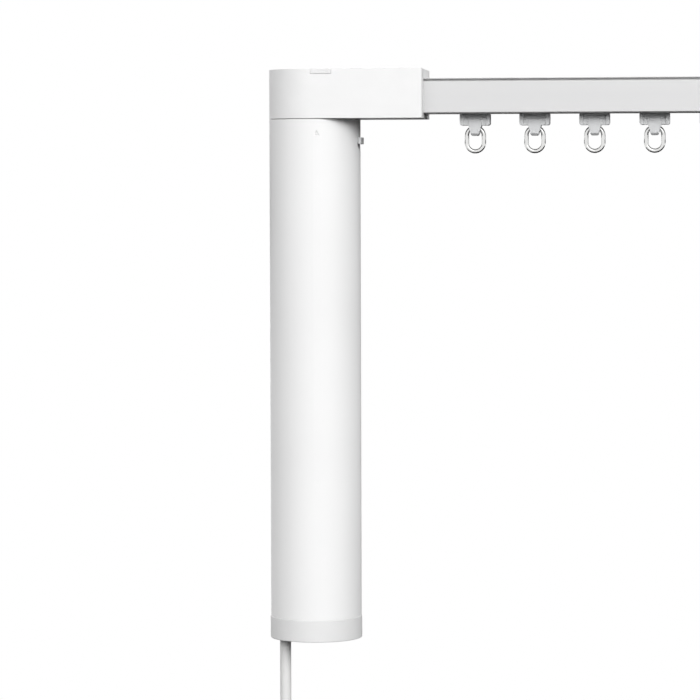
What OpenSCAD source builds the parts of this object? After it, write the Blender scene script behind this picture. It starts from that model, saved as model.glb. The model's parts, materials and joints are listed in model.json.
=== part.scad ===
// Electric curtain track: a tubular motor hangs under one end of a ceiling rail and drives
// a toothed belt, which pulls the curtain carriers along the rail.
// X runs along the rail away from the motor, Y points to the back and Z is up.
// The origin is on the ceiling, midway between the two clip screws.

/* [Rail] */
// Length of the extruded rail
rail_len = 1000; // [800:5:2400]
// Height of the rail
rail_h = 19.1; // [18.5:0.1:24]
// Thickness of the rail's side walls
rail_wall = 1.15; // [1:0.05:2]
// Thickness of the two ledges that carry the wheels
rail_floor = 1.5; // [1.2:0.1:2]
// Thickness of the rail's roof
rail_roof = 1.4; // [1.2:0.1:2]
// Radius of the rail's outer edges
rail_edge_r = 0.5; // [0.3:0.1:0.7]
// Width of the slot under the rail
slot_w = 8; // [7:0.5:9]
// Height of the mouth of the clip grooves along the rail's top edges
groove_h = 1.1; // [1:0.1:1.4]
// Depth of the clip grooves
groove_depth = 2.4; // [2:0.1:2.6]
// Lip left above the clip grooves
groove_lip = 0.4; // [0.3:0.1:1]

/* [Ceiling clips] */
// Height of the clips, from the ceiling to the rail
clip_h = 6.6; // [6:0.1:12]
// Length of a clip along the rail
clip_len = 30; // [26:1:40]
// Distance from each rail end to its clip
clip_inset = 225; // [180:5:300]
// Diameter of the ceiling screw holes
screw_hole_d = 4.5; // [3.5:0.5:5]
// Length of the locking lever's arm
lever_len = 17; // [12:1:24]

/* [Belt] */
// Number of teeth on both pulleys
pulley_teeth = 14; // [14:2:16]
// Width of the belt
belt_w = 8; // [6:0.5:8]
// Thickness of the belt behind its teeth
belt_back = 1; // [0.8:0.1:1.2]
// Height of the belt's teeth
belt_tooth_h = 1.2; // [1:0.1:1.2]
// Height of the belt's lower edge above the rail's underside
belt_low = 7.9; // [7.9:0.1:8.2]

/* [Motor] */
// Outer diameter of the motor tube
tube_d = 50; // [48:0.5:60]
// Wall of the motor tube
tube_wall = 1.6; // [1.2:0.1:2]
// Length of the motor tube
tube_len = 273.2; // [260:0.2:400]
// How far the bottom cap stands out beyond the tube
cap_over = 0.3; // [0.1:0.1:1]
// Height of the bottom cap
cap_h = 11.8; // [10:0.1:16]
// Thickness of the rubber damper between the electric motor and the tube
damper_t = 4.65; // [3.5:0.05:8]
// Length of the electric motor
can_len = 64; // [50:1:80]
// Distance of the cord's middle from the tube's outside
cord_inset = 7.7; // [7.5:0.1:10]

/* [Head] */
// Height of the drive head
head_h = 26.8; // [26.4:0.1:32]
// Height of the head above the rail's top
head_rise = 5.1; // [4.2:0.1:6]
// Length of the head from the motor's axis
head_reach = 61; // [58:0.5:80]
// Wall of the head
head_wall = 2.2; // [2:0.1:3]
// Thickness of the head's cover
cover_t = 2.2; // [2:0.1:3]
// Distance from the motor's axis to the rail's end
rail_start = 22; // [20:0.5:26]
// Width of the cover's snap tab
tab_w = 11.8; // [8:0.1:16]
// Distance from the motor's axis to the middle of the snap tab
tab_x = 6.1; // [6:0.1:16]
// Height of the snap tab's notch
tab_h = 2.9; // [2.8:0.1:5]
// Travel of the release latch
latch_travel = 3; // [2:0.1:3.2]

/* [Carriers] */
// Number of gliding carriers
carrier_count = 6; // [4:1:6]
// Distance between parked carriers
carrier_pitch = 32.5; // [24:0.5:40]
// Distance from the motor's axis to the first carrier
first_carrier = 88.2; // [80:0.1:100]
// Length of a carrier along the rail
carrier_len = 16.5; // [15:0.1:18]
// Depth of a carrier below the rail
carrier_drop = 6.5; // [6:0.1:8]
// Diameter of the carrier wheels
wheel_d = 7; // [6:0.1:7.2]
// Width of a hook's tongue at its top
tongue_w = 7.1; // [6.6:0.1:8]
// Width of a hook's tongue at its tip
tongue_tip_w = 4.2; // [3.6:0.1:4.4]
// Height of a hook's tongue
tongue_h = 9; // [8.8:0.1:9.4]
// Outer width of a curtain ring
ring_w = 11.65; // [11.4:0.05:12]
// Outer height of a curtain ring
ring_h = 15.1; // [14:0.1:20]
// Wire of a curtain ring
ring_wire = 2.4; // [2:0.1:2.4]

/* [End unit] */
// Half the width of the end housing
end_r = 20; // [19.5:0.5:26]
// Wall of the end housing
end_wall = 2; // [1.8:0.1:3]
// Length of rail held in the end housing
end_grip = 26; // [20:1:40]

/* [Mains cord] */
// Diameter of the cord
cord_d = 6.2; // [5:0.1:6.2]
// Radius of the coil's outer turn
coil_r = 42; // [42:0.5:50]
// Turns in the coil
coil_turns = 5; // [4:1:6]

/* [Hidden] */
$fn = 64;

// Clearances
seat_gap = 0.2;
snap_gap = 0.3;
run_gap = 0.05;
roll_gap = 0.3;
belt_gap = 0.6;
joint_gap = 0.35;
cap_gap = 0.05;

// Overshoot of cuts, and the depth to which joined shapes run into each other
cut = 1;
sink = 0.5;
hair = 0.02;

// Levels, from the ceiling down
rail_top = -clip_h;
rail_bottom = rail_top - rail_h;
head_top = rail_top + head_rise;
joint_z = head_top - head_h;
head_floor_z = rail_bottom - seat_gap;
cover_z = head_top - cover_t;
tube_top = joint_z - joint_gap;
tube_end = tube_top - tube_len;
cap_top = tube_end - cap_gap;
cap_bottom = cap_top - cap_h;

// Belt and pulleys: the belt has a pitch of 5 mm and meshes at its pitch line
belt_pitch = 5;
pitch_line = 0.39;
tooth_base = 2.65;
tooth_tip = 1.78;
pulley_clear = 0.15;
tooth_play = 0.25;
pulley_side = 0.5;
flange_t = 1;
flange_over = 1.25;
pitch_r = belt_pitch * pulley_teeth / (2 * PI);
belt_land = pitch_r - pitch_line;
belt_in = belt_land - belt_tooth_h;
belt_out = belt_land + belt_back;
pulley_r = belt_land - pulley_clear;
flange_r = belt_out + flange_over;
belt_z = rail_bottom + belt_low;
groove_z0 = belt_z - pulley_side;
groove_z1 = belt_z + belt_w + pulley_side;

// Places along the rail
rail_w = 2 * (belt_out + belt_gap + rail_wall);
motor_x = -(rail_len / 2 + rail_start);
rail_end = rail_start + rail_len;
idler_room = 16;
idler_x = belt_pitch * ceil((rail_end + idler_room) / belt_pitch);
clip_x = rail_len / 2 - clip_inset;
drive_room = 17;
drive_x = belt_pitch * round((first_carrier + carrier_count * carrier_pitch + drive_room) / belt_pitch);

// Rail section
groove_land = 0.15;
groove_sag = 0.3;
groove_bevel = 0.5;
foot_bevel = 0.6;
shelf_t = 0.9;
lip_t = 0.8;
lip_h = 2;
lip_out = belt_in - sink;
channel_out = belt_out + belt_gap;
channel_low = belt_low - pulley_side;
channel_top = belt_low + belt_w + pulley_side;

// Ceiling clip
hook_w = 20;
hook_t = 1.8;
hook_foot = 0.4;
hook_share = 0.45;
hook_lip = hook_share * groove_h;
hook_rise = 0.15;
hook_reach = 0.55;
ear_t = 3.2;
ear_w = 11;
rivet_r = 1.5;
rivet_head_r = 2.6;
rivet_head_t = 0.8;
rivet_sink = 0.3;
pivot_out = 4.1;
lever_hub_r = 3.4;
lever_cam = 100;
lever_arm_w = 3.2;
lever_arm_t = 3;
lever_under = 1;
screw_head_r = 4.6;
screw_head_h = 2.4;
groove_z = rail_top - groove_lip - groove_h;
lip_z = groove_z + hook_rise;
lever_low = lip_z - lever_under;
pivot_y = -(rail_w / 2 + pivot_out);

// Head
head_r = tube_d / 2;
head_corner = 1.2;
rim = 1.1;
tab_root = 2;
tab_set = 1.2;
tab_slant = 1.1;
tab_lean = 0.35;
tab_bevel = 0.45;
post_r = 3;
pilot_r = 1.5;
screw_r = 1.45;
screw_len = 9;
screw_cap_r = 2.8;
screw_cap_h = 1.3;
driver_r = 1.5;
driver_depth = 0.8;
grub_r = 2;
grub_boss_r = 4.2;
grub_sink = 0.6;
grub_key_r = 1.15;
grub_socket = 2;
grub_x = [35, 54];
grub_z = rail_bottom + rail_h / 2;
rib_t = 2.2;
post_x = 45;
post_spot = 13;
collar_h = 9;
collar_wall = 2.05;
collar_r = tube_d / 2 - tube_wall - seat_gap;

// Bearings: bore, outside diameter and width
main_bearing = [12, 21, 5];
top_bearing = [8, 16, 4];
race_t = 1.4;
shield_sink = 0.6;
bearing_sink = 0.8;
top_bearing_z = cover_z + bearing_sink - top_bearing[2];
boss_wall = 1.8;
floor_hole_r = 8.5;

// Release latch
latch_drop = 13.8;
latch_h = 3.7;
latch_z0 = joint_z - latch_drop;
latch_z1 = latch_z0 + latch_h;
latch_lift = 1.6;
latch_angle = 14.3;
latch_stem = 8;
stem_in = 1.8;
tongue_t = 1.4;
scoop_depth = 4.3;
scoop_half = 6.2;
scoop_r = (scoop_half * scoop_half + scoop_depth * scoop_depth) / (2 * scoop_depth);
notch_h = 3;
spring_r = 1.4;
spring_wire = 0.6;
spring_turns = 5;
spring_rings = 12;
spring_inset = 4.6;
spring_x = tube_d / 2 - spring_inset;

// Gear train: a fixed ring, three planets and a sun, all of one module
gear_m = 0.8;
pressure_angle = 20;
flank_steps = 4;
ring_teeth = 42;
planet_teeth = 15;
sun_teeth = 12;
orbit = gear_m * (sun_teeth + planet_teeth) / 2;
addendum = 0.68;
dedendum = 0.88;
ring_addendum = 0.55;
backlash = 0.16;
planet_angles = [0, 120, 240];
gear_w = 14;
pin_r = 2;

// Motor stack, from the head's joint down
tube_in = tube_d / 2 - tube_wall;
fit_r = tube_in - seat_gap;
plate_drop = 20.2;
plate_z = joint_z - plate_drop;
plate_t = 6;
ring_len = 24;
plate_lip = 1;
arm_t = 4;
arm_gap = 0.6;
arm_r = 14.5;
ring_z = plate_z - plate_t - ring_len;
arm_z = plate_z - plate_t - arm_gap - arm_t;
gear_z = arm_z - snap_gap - gear_w;
flange_h = 4;
can_z = ring_z - flange_h - can_len;
shaft_r = 2.5;
shaft_in = 8;
can_d = 2 * (fit_r - run_gap - damper_t);
can_wall = 6;
can_hollow_r = can_d / 2 - can_wall;
can_end = 5;
damper_h = 6;
damper_up = 4;
hex_r = 4.6;
hex_len = 9;
spindle_r = 5.2;
hub_drop = 1;
hub_low = joint_z - hub_drop;

// Bottom cap and control board
cap_d = tube_d + 2 * cap_over;
cap_floor = 2.4;
cap_wall = 2.3;
cap_chamfer = 0.2;
skirt_h = 9;
skirt_wall = 2;
board_trim = 14;
board_w = tube_d - board_trim;
board_t = 1.6;
board_len = 110;
board_y = 9;
stay_w = 7;
stay_t = 5;
stay_inset = 4.5;
stay_x = board_w / 2 - stay_inset;
stay_h = 24;
board_grip = 10;

// Parts on the front of the board: sizes, and left lower corners from the board's foot
transformer = [15, 14, 18];
transformer_at = [2, 0, 30];
relay = [18, 8, 14];
relay_at = [-2, 0, 64];
filter = [24, 9, 12];
filter_at = [-12, 0, 90];
capacitor_r = 6.3;
capacitor_h = 12;
capacitor_at = [-8, 0, 38];

// Pairing button and cord gland, in the cap's floor
button_r = 3;
button_spot = [6, -11];
button_flange = 1.2;
button_out = 0.6;
cord_offset = tube_d / 2 - cord_inset;
gland_r = 4.2;
gland_flange_r = 5.4;
gland_flange_t = 2.5;
gland_boot = 13;
gland_out = 0.6;

// Alignment mark on the front of the tube
mark_angle = 8.7;
mark_w = 3;
mark_h = 2.7;
mark_line = 0.6;
mark_depth = tube_wall / 2;
mark_drop = 8.3;
mark_z = joint_z - mark_drop;

// Carriers: heights are above the rail's underside
axle_v = rail_floor + roll_gap + wheel_d / 2;
axle_r = 1.2;
snap_share = 0.85;
wheel_in = 4.5;
wheel_w = 2.8;
wheel_edge = 0.4;
neck_play = 0.8;
neck_t = slot_w - 2 * neck_play;
block_over = 0.1;
block_t = neck_t + 2 * block_over;
block_low = 2.4;
block_inset = 0.3;
block_top = axle_v + wheel_d / 2 + seat_gap;
under_gap = 0.3;
ear_x = 2.15;
ear_depth = 4.8;
bar_depth = 4;
web_depth = 2.7;
tongue_depth = 4.4;
tongue_top = -3.1;
tip_corner = 0.5;
tip_bevel = 1.1;
tip_rise = 1.2;
corner_r = 1.3;
ring_slot = 2.9;
eye_play = 0.1;
ring_mid_r = (ring_w - ring_wire) / 2;
ring_top = -carrier_drop - eye_play;
ring_pivot = ring_top - ring_wire / 2;
ring_bar = 1;
ring_bend = ring_mid_r - ring_bar / 2;
ring_arc = ring_pivot - ring_bend;
ring_foot = ring_pivot - ring_h + ring_wire + ring_mid_r;
saddle_r = ring_bend - ring_wire / 2 - roll_gap;

// Driving carrier
drive_len = 44;
drive_axle = 14;
arm_half = 9.5;
arm_clear = 0.4;
arm_low = block_top + arm_clear;
arm_top = 15;
jaw_y = 7.6;
jaw_gap = 0.15;

// End unit
end_rise = 3;
end_drop = 2.4;
end_cover_t = 2;
end_post = 14;
end_post_r = 2.8;
end_post_sink = 0.8;
pin_axle_r = 3;
idler_boss_r = 5.5;
end_top = rail_top + end_rise;
end_bottom = rail_bottom - end_drop;
end_cover_z = end_top - end_cover_t;

// Mains cord: the drop under the gland is straight, and the coil hangs below it
cord_r = cord_d / 2;
cord_route = [
    [0, 0, 0], [0, 0, -6], [0, 0, -12], [0, 0, -18], [0, 0, -24], [0, 0, -30], [0, 0, -36], [0, 0, -42],
    [0, 0, -48], [0, 0, -54], [0, 0, -60], [0, 0, -66], [0, 0, -72], [0, 0, -78], [0, 0, -84]
];
route_last = cord_route[len(cord_route) - 1];
cord_sides = 12;
loop_sides = 6;
loop_rings = 24;
turn_gap = 0.5;
layer_gap = 0.6;
turn_step = cord_d + turn_gap;
layer_step = cord_d + layer_gap;
climb_turns = 0.5;
tail_len = 46;
gland_mouth = [motor_x - cord_offset, 0, cap_bottom - gland_out];
coil_lead = cord_d;
coil_centre = gland_mouth + route_last + [coil_r, 0, -coil_lead];
tie_w = 8;
tie_t = 1.2;
tie_gap = 0.6;
tie_corner = 0.8;
tie_lock = 7;
plug_relief = 18;
relief_r = 5.6;
plug_sink = 1;
plug_len = 34;
plug_w = 35;
plug_neck_w = 19;
plug_t = 14;
prong_r = 2;
prong_len = 19;
prong_half = 9.3;

white = "whitesmoke";
grey = "gainsboro";
nylon = "darkgray";
metal = "silver";
steel = "lightslategray";

// Shared placing and shapes

// Places a piece by its distance from the motor's axis, at the rail's underside
module on_rail(x) {
    translate([motor_x + x, 0, rail_bottom]) children();
}

// Places a piece on the motor's axis
module on_motor() {
    translate([motor_x, 0, 0]) children();
}

// A cylinder between two levels
module post(r, z0, z1) {
    translate([0, 0, z0]) cylinder(r = r, h = z1 - z0);
}

// A flat shape raised between two levels
module slab(z0, z1) {
    translate([0, 0, z0]) linear_extrude(height = z1 - z0) children();
}

// A box between two corners
module block(low, high) {
    translate(low) cube(high - low);
}

// A cylinder along Y, centred on the XZ plane
module y_rod(r, half) {
    rotate([90, 0, 0]) cylinder(r = r, h = 2 * half, center = true);
}

// A flat shape drawn in X and Z, given a depth in Y on both sides
module y_plate(half) {
    rotate([90, 0, 0]) linear_extrude(height = 2 * half, center = true) children();
}

// A rectangle with round corners, standing on the X axis
module soft_rect(w, h, r) {
    translate([-w / 2 + r, 0]) square([w - 2 * r, h]);
    translate([-w / 2, r]) square([w, h - 2 * r]);
    for (x = [-1, 1], y = [r, h - r]) translate([x * (w / 2 - r), y]) circle(r = r);
}

// The outline of a housing: a half circle round the origin with a box towards +X
module housing_plan(r, reach, inset, corner) {
    half = r - inset;
    far = reach - inset;
    circle(r = half);
    translate([0, -half]) square([far - corner, 2 * half]);
    translate([0, corner - half]) square([far, 2 * (half - corner)]);
    for (s = [-1, 1]) translate([far - corner, s * (half - corner)]) circle(r = corner);
}

module head_plan(inset) {
    housing_plan(head_r, head_reach, inset, head_corner);
}

module end_plan(inset) {
    mirror([1, 0]) housing_plan(end_r, idler_x - rail_end + end_grip, inset, head_corner);
}

// Tubes swept along a list of points

function unit(v) = v / norm(v);

function tangent(path, i) = unit(path[min(i + 1, len(path) - 1)] - path[max(i - 1, 0)]);

function ring_at(path, i, r, sides, side_way) =
    let (t = tangent(path, i), n = unit(cross(t, side_way)), b = cross(n, t))
    [for (k = [0:sides - 1]) path[i] + r * (cos(360 * k / sides) * n + sin(360 * k / sides) * b)];

module swept_tube(path, r, sides, side_way) {
    last = len(path) - 1;
    points = [for (i = [0:last]) each ring_at(path, i, r, sides, side_way)];
    walls = [
        for (i = [0:last - 1], k = [0:sides - 1])
            let (a = i * sides + k, b = i * sides + (k + 1) % sides)
            each [[a, b, a + sides], [b, b + sides, a + sides]]
    ];
    start_cap = [for (k = [1:sides - 2]) [0, k + 1, k]];
    end_cap_faces = [for (k = [1:sides - 2]) [last * sides, last * sides + k, last * sides + k + 1]];
    polyhedron(points, concat(walls, start_cap, end_cap_faces));
}

// The coil: it spirals in on the front layer, climbs at the middle and spirals out behind

coil_mid = coil_turns / 2;

function ease(u) = u <= 0 ? 0 : u >= 1 ? 1 : u * u * (3 - 2 * u);

function turn_radius(t) = coil_r - turn_step * (coil_mid - abs(t - coil_mid));

function turn_depth(t) = layer_step * ease((t - coil_mid) / climb_turns + 0.5);

function coil_point(t) =
    coil_centre + [turn_radius(t) * cos(180 + 360 * t), turn_depth(t), turn_radius(t) * sin(180 + 360 * t)];

coil_steps = loop_rings * coil_turns;
coil_loops = [for (i = [0:coil_steps]) coil_point(i / loop_rings)];
tail_end = coil_loops[coil_steps] - [0, 0, tail_len];
coil_path = concat([coil_loops[0] + [0, 0, coil_lead]], coil_loops, [tail_end]);

// The least gap between turns, from points at least half a turn apart
coil_gap = min([
    for (i = [0:coil_steps], j = [i + loop_rings / 2:1:coil_steps]) norm(coil_loops[i] - coil_loops[j])
]) - cord_d;
coil_length = [for (i = 0, s = 0; i < len(coil_path); i = i + 1,
    s = s + (i < len(coil_path) ? norm(coil_path[i] - coil_path[i - 1]) : 0)) s];
echo(coil_least_gap = coil_gap, cord_length = norm(route_last) + coil_length[len(coil_path) - 1]);

// Toothed wheels

function involute(a) = tan(a) * 180 / PI - a;

// Half the angle of a tooth at a radius, with the flank's play taken off
function half_tooth(z, r, play) =
    let (pitch = gear_m * z / 2, base = pitch * cos(pressure_angle), at = max(r, base))
    90 / z + involute(pressure_angle) - involute(acos(base / at)) - play / pitch * 90 / PI;

function polar(r, a) = [r * cos(a), r * sin(a)];

// A spur gear's outline, with its first tooth on the X axis
module gear_outline(z, up, down, play) {
    pitch = gear_m * z / 2;
    foot = pitch - down;
    tip = pitch + up;
    start = max(foot, pitch * cos(pressure_angle));
    rise = [for (i = [0:flank_steps]) start + (tip - start) * i / flank_steps];
    flank = [for (r = rise) [r, half_tooth(z, r, play)]];
    low = foot < start - hair ? [[foot, half_tooth(z, start, play)]] : [];
    side = concat(low, flank);
    count = len(side);
    tooth = concat([for (p = side) [p[0], -p[1]]], [for (i = [count - 1:-1:0]) side[i]]);
    polygon([for (k = [0:z - 1], p = tooth) polar(p[0], p[1] + 360 * k / z)]);
}

// The outline of a belt pulley, with a groove on the Y axis
module pulley_outline() {
    wide = tooth_base / 2 + tooth_play;
    narrow = tooth_tip / 2 + tooth_play;
    bottom = belt_in - snap_gap;
    top = pulley_r + seat_gap;
    difference() {
        circle(r = pulley_r);
        for (k = [0:pulley_teeth - 1])
            rotate(360 * k / pulley_teeth)
                polygon([[-narrow, bottom], [narrow, bottom], [wide, top], [-wide, top]]);
    }
}

module pulley_body() {
    slab(groove_z0, groove_z1) pulley_outline();
    post(flange_r, groove_z0 - flange_t, groove_z0);
    post(flange_r, groove_z1, groove_z1 + flange_t);
}

// Rail

module rail_section() {
    half_slot = slot_w / 2;
    groove_foot = rail_h - groove_lip - groove_h;
    groove = [
        [-cut, -groove_bevel - cut],
        [groove_bevel, 0],
        [groove_depth, -groove_sag],
        [groove_depth, groove_land],
        [0, groove_h],
        [-cut, groove_h]
    ];
    foot = [[-cut, foot_bevel + cut], [-cut, -cut], [foot_bevel + cut, -cut]];
    difference() {
        soft_rect(rail_w, rail_h, rail_edge_r);
        translate([-half_slot, -cut]) square([slot_w, rail_floor + 2 * cut]);
        translate([-channel_out, rail_floor]) square([2 * channel_out, channel_low - shelf_t - rail_floor]);
        translate([-lip_out, rail_floor]) square([2 * lip_out, rail_h - rail_roof - lip_h - rail_floor]);
        translate([lip_t - lip_out, rail_floor])
            square([2 * (lip_out - lip_t), rail_h - rail_roof - rail_floor]);
        for (s = [-1, 1]) {
            translate([s * (lip_out + channel_out) / 2, (channel_low + channel_top) / 2])
                square([channel_out - lip_out + hair, channel_top - channel_low], center = true);
            polygon([for (p = groove) [s * (rail_w / 2 - p[0]), groove_foot + p[1]]]);
            polygon([for (p = foot) [s * (rail_w / 2 - p[0]), p[1]]]);
        }
    }
}

module rail() {
    color(grey)
        on_rail(rail_start)
            rotate([90, 0, 90])
                linear_extrude(height = rail_len) rail_section();
}

// Belt: a point at a distance along the pitch line, moved outwards from it

half_wrap = PI * pitch_r;

function belt_point(s, out) =
    s < half_wrap ? polar(pitch_r + out, 90 + s / pitch_r * 180 / PI)
    : s < half_wrap + idler_x ? [s - half_wrap, -pitch_r - out]
    : s < 2 * half_wrap + idler_x
        ? [idler_x, 0] + polar(pitch_r + out, -90 + (s - half_wrap - idler_x) / pitch_r * 180 / PI)
    : [2 * idler_x + 2 * half_wrap - s, pitch_r + out];

module drive_belt() {
    teeth = 2 * idler_x / belt_pitch + pulley_teeth;
    land = belt_land - pitch_r;
    tooth = [[-tooth_base, 0], [-tooth_tip, -belt_tooth_h], [tooth_tip, -belt_tooth_h], [tooth_base, 0]];
    inside = [
        for (k = [0:teeth - 1], p = tooth)
            let (s = belt_pitch * k + p[0] / 2)
            belt_point(s < 0 ? s + belt_pitch * teeth : s, land + p[1])
    ];
    color("dimgray")
        on_motor()
            slab(belt_z, belt_z + belt_w)
                difference() {
                    union() {
                        circle(r = belt_out);
                        translate([idler_x, 0]) circle(r = belt_out);
                        translate([0, -belt_out]) square([idler_x, 2 * belt_out]);
                    }
                    polygon(inside);
                }
}

// Ceiling clips

module clip_body() {
    half = rail_w / 2;
    side = half + snap_gap;
    difference() {
        union() {
            block([-clip_len / 2, -half, rail_top], [clip_len / 2, half, 0]);
            block([-hook_w / 2, half - cut, -ear_t], [hook_w / 2, side + hook_t, 0]);
            block([-hook_w / 2, side, lip_z - hook_foot], [hook_w / 2, side + hook_t, 0]);
            block([-hook_w / 2, half - hook_reach, lip_z], [hook_w / 2, side + sink, lip_z + hook_lip]);
            block([-ear_w / 2, pivot_y, -ear_t], [ear_w / 2, cut - half, 0]);
            translate([0, pivot_y, 0]) post(ear_w / 2, -ear_t, 0);
        }
        post(screw_hole_d / 2, rail_top - cut, cut);
        translate([0, 0, rail_top - hair])
            cylinder(r1 = screw_head_r, r2 = screw_hole_d / 2, h = screw_head_h);
        translate([0, pivot_y, 0]) post(rivet_r + run_gap, -ear_t - cut, cut);
    }
    translate([0, pivot_y, 0]) {
        post(rivet_r, lever_low - rivet_head_t - seat_gap, -rivet_sink);
        post(rivet_head_r, lever_low - rivet_head_t - seat_gap, lever_low - seat_gap);
    }
}

module clip_bodies() {
    color(metal)
        for (s = [-1, 1]) translate([s * clip_x, 0, 0]) clip_body();
}

module clip_lever(s) {
    cam_r = pivot_out + hook_reach;
    arm = lever_arm_w / 2;
    color(white)
        translate([s * clip_x, pivot_y, 0])
            difference() {
                union() {
                    post(lever_hub_r, lever_low, -ear_t - seat_gap);
                    translate([0, 0, lip_z])
                        rotate(90 - lever_cam / 2)
                            rotate_extrude(angle = lever_cam) square([cam_r, hook_lip]);
                    block([0, -arm, lever_low], [lever_len - arm, arm, lever_low + lever_arm_t]);
                    translate([lever_len - arm, 0, 0]) post(arm, lever_low, lever_low + lever_arm_t);
                }
                post(rivet_r + run_gap, lever_low - cut, 0);
            }
}

module clip_lever_1() {
    clip_lever(-1);
}

module clip_lever_2() {
    clip_lever(1);
}

// Screw places in the two covers, from the axes of the drive pulley and the idler

function head_screws() =
    let (y = (rail_w / 2 + seat_gap + head_r - head_wall) / 2)
    [for (s = [-1, 1]) each [[-post_spot, s * post_spot], [post_x, s * y]]];

function end_screws() = [for (s = [-1, 1]) [-end_post, s * (end_r - end_wall - end_post_r + end_post_sink)]];

// Drive head

module head_housing() {
    main_r = main_bearing[1] / 2 + run_gap;
    wall_in = head_r - head_wall;
    rail_half = rail_w / 2 + seat_gap;
    color(white)
        on_motor()
            difference() {
                union() {
                    difference() {
                        slab(joint_z, head_top) head_plan(0);
                        slab(head_floor_z, head_top + cut) head_plan(head_wall);
                        slab(cover_z - run_gap, head_top + cut) head_plan(rim);
                    }
                    difference() {
                        post(collar_r, joint_z - collar_h, joint_z + cut);
                        post(collar_r - collar_wall, joint_z - collar_h - cut, joint_z);
                    }
                    post(main_r + boss_wall, head_floor_z - sink, head_floor_z + main_bearing[2]);
                    for (p = head_screws()) translate(p) post(post_r, head_floor_z - sink, cover_z);
                    for (x = grub_x) {
                        block([x - rib_t / 2, -wall_in - sink, head_floor_z - sink],
                            [x + rib_t / 2, -rail_half, rail_top]);
                        translate([x, rail_half, grub_z])
                            rotate([-90, 0, 0])
                                cylinder(r = grub_boss_r, h = head_r - head_wall / 2 - rail_half);
                    }
                }
                post(main_r, head_floor_z, head_floor_z + main_bearing[2] + cut);
                post(floor_hole_r, joint_z - cut, head_floor_z + cut);
                block([head_reach - head_wall - cut, -rail_half, head_floor_z],
                    [head_reach + cut, rail_half, rail_top + seat_gap]);
                for (s = [0, 1])
                    mirror([0, s, 0])
                        block([tab_x - tab_w / 2, wall_in - sink, head_top - tab_h],
                            [tab_x + tab_w / 2, head_r + cut, head_top + cut]);
                for (p = head_screws()) translate(p) post(pilot_r, cover_z - screw_len, head_top);
                for (x = grub_x)
                    translate([x, rail_half - cut, grub_z])
                        rotate([-90, 0, 0]) cylinder(r = grub_r + run_gap, h = head_r);
                block([0, -latch_stem / 2, joint_z - collar_h - cut],
                    [head_r, latch_stem / 2, joint_z - collar_h + notch_h]);
            }
}

module screw_seats(places, top) {
    for (p = places)
        translate(p) {
            post(pilot_r, top - screw_len, top + cut);
            post(screw_cap_r + seat_gap, top - screw_cap_h, top + cut);
        }
}

module head_cover() {
    top_r = top_bearing[1] / 2 + run_gap;
    wall_in = head_r - head_wall;
    tab_left = tab_x - tab_w / 2 + seat_gap;
    tab_right = tab_x + tab_w / 2 - seat_gap;
    tab_low = head_top - tab_h + seat_gap;
    tab_front = head_r - seat_gap;
    tab_plan = [
        [tab_left, wall_in],
        [tab_right, wall_in],
        [tab_right, tab_front - tab_set],
        [tab_right - tab_slant, tab_front],
        [tab_left + tab_slant, tab_front],
        [tab_left, tab_front - tab_set]
    ];
    tab_side = [
        [wall_in, tab_low],
        [tab_front - tab_lean - tab_bevel, tab_low],
        [tab_front - tab_lean, tab_low + tab_bevel],
        [tab_front, head_top],
        [wall_in, head_top]
    ];
    color(white)
        on_motor()
            difference() {
                union() {
                    slab(cover_z, head_top) head_plan(rim + seat_gap);
                    post(top_r + boss_wall, top_bearing_z, cover_z + cut);
                    for (s = [0, 1])
                        mirror([0, s, 0]) {
                            intersection() {
                                slab(tab_low, head_top) polygon(tab_plan);
                                translate([tab_left, 0, 0])
                                    rotate([90, 0, 90])
                                        linear_extrude(height = tab_right - tab_left) polygon(tab_side);
                            }
                            block([tab_left, wall_in - tab_root, cover_z],
                                [tab_right, wall_in + sink, head_top]);
                        }
                }
                post(top_r, top_bearing_z - cut, cover_z + bearing_sink);
                screw_seats(head_screws(), head_top);
            }
}

module drive_pulley() {
    color(nylon)
        on_motor()
            difference() {
                union() {
                    pulley_body();
                    post(main_bearing[0] / 2 + race_t, head_floor_z + main_bearing[2] + seat_gap, groove_z0);
                    post(main_bearing[0] / 2 - run_gap, hub_low, groove_z0);
                    post(top_bearing[0] / 2 + race_t, groove_z1, top_bearing_z - seat_gap);
                    post(top_bearing[0] / 2 - run_gap, groove_z1, cover_z + bearing_sink - seat_gap);
                }
                translate([0, 0, hub_low - cut])
                    cylinder(r = hex_r + seat_gap, h = hex_len + 2 * cut, $fn = 6);
            }
}

module bearing(size, z0) {
    difference() {
        post(size[1] / 2, z0, z0 + size[2]);
        post(size[0] / 2, z0 - cut, z0 + size[2] + cut);
        for (z = [z0 - cut, z0 + size[2] - shield_sink])
            difference() {
                post(size[1] / 2 - race_t, z, z + shield_sink + cut);
                post(size[0] / 2 + race_t, z - cut, z + shield_sink + 2 * cut);
            }
    }
}

module bearings() {
    color(steel)
        on_motor() {
            bearing(main_bearing, head_floor_z);
            bearing(top_bearing, top_bearing_z);
            bearing(main_bearing, plate_z - plate_t + plate_lip);
        }
}

module latch() {
    inner = tube_d / 2 + seat_gap;
    stem = latch_stem / 2 - snap_gap;
    tongue_out = fit_r - 2 * seat_gap;
    notch_top = joint_z - collar_h + notch_h - snap_gap;
    color(nylon)
        on_motor() {
            translate([0, 0, latch_z0])
                rotate(-latch_angle)
                    rotate_extrude(angle = 2 * latch_angle)
                        translate([inner, 0]) square([latch_lift, latch_z1 - latch_z0]);
            block([spring_x - stem_in, -stem, latch_z0 + snap_gap],
                [inner + sink, stem, latch_z1 - snap_gap]);
            block([tongue_out - tongue_t, -stem, latch_z0 + cut], [tongue_out, stem, notch_top]);
        }
}

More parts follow.
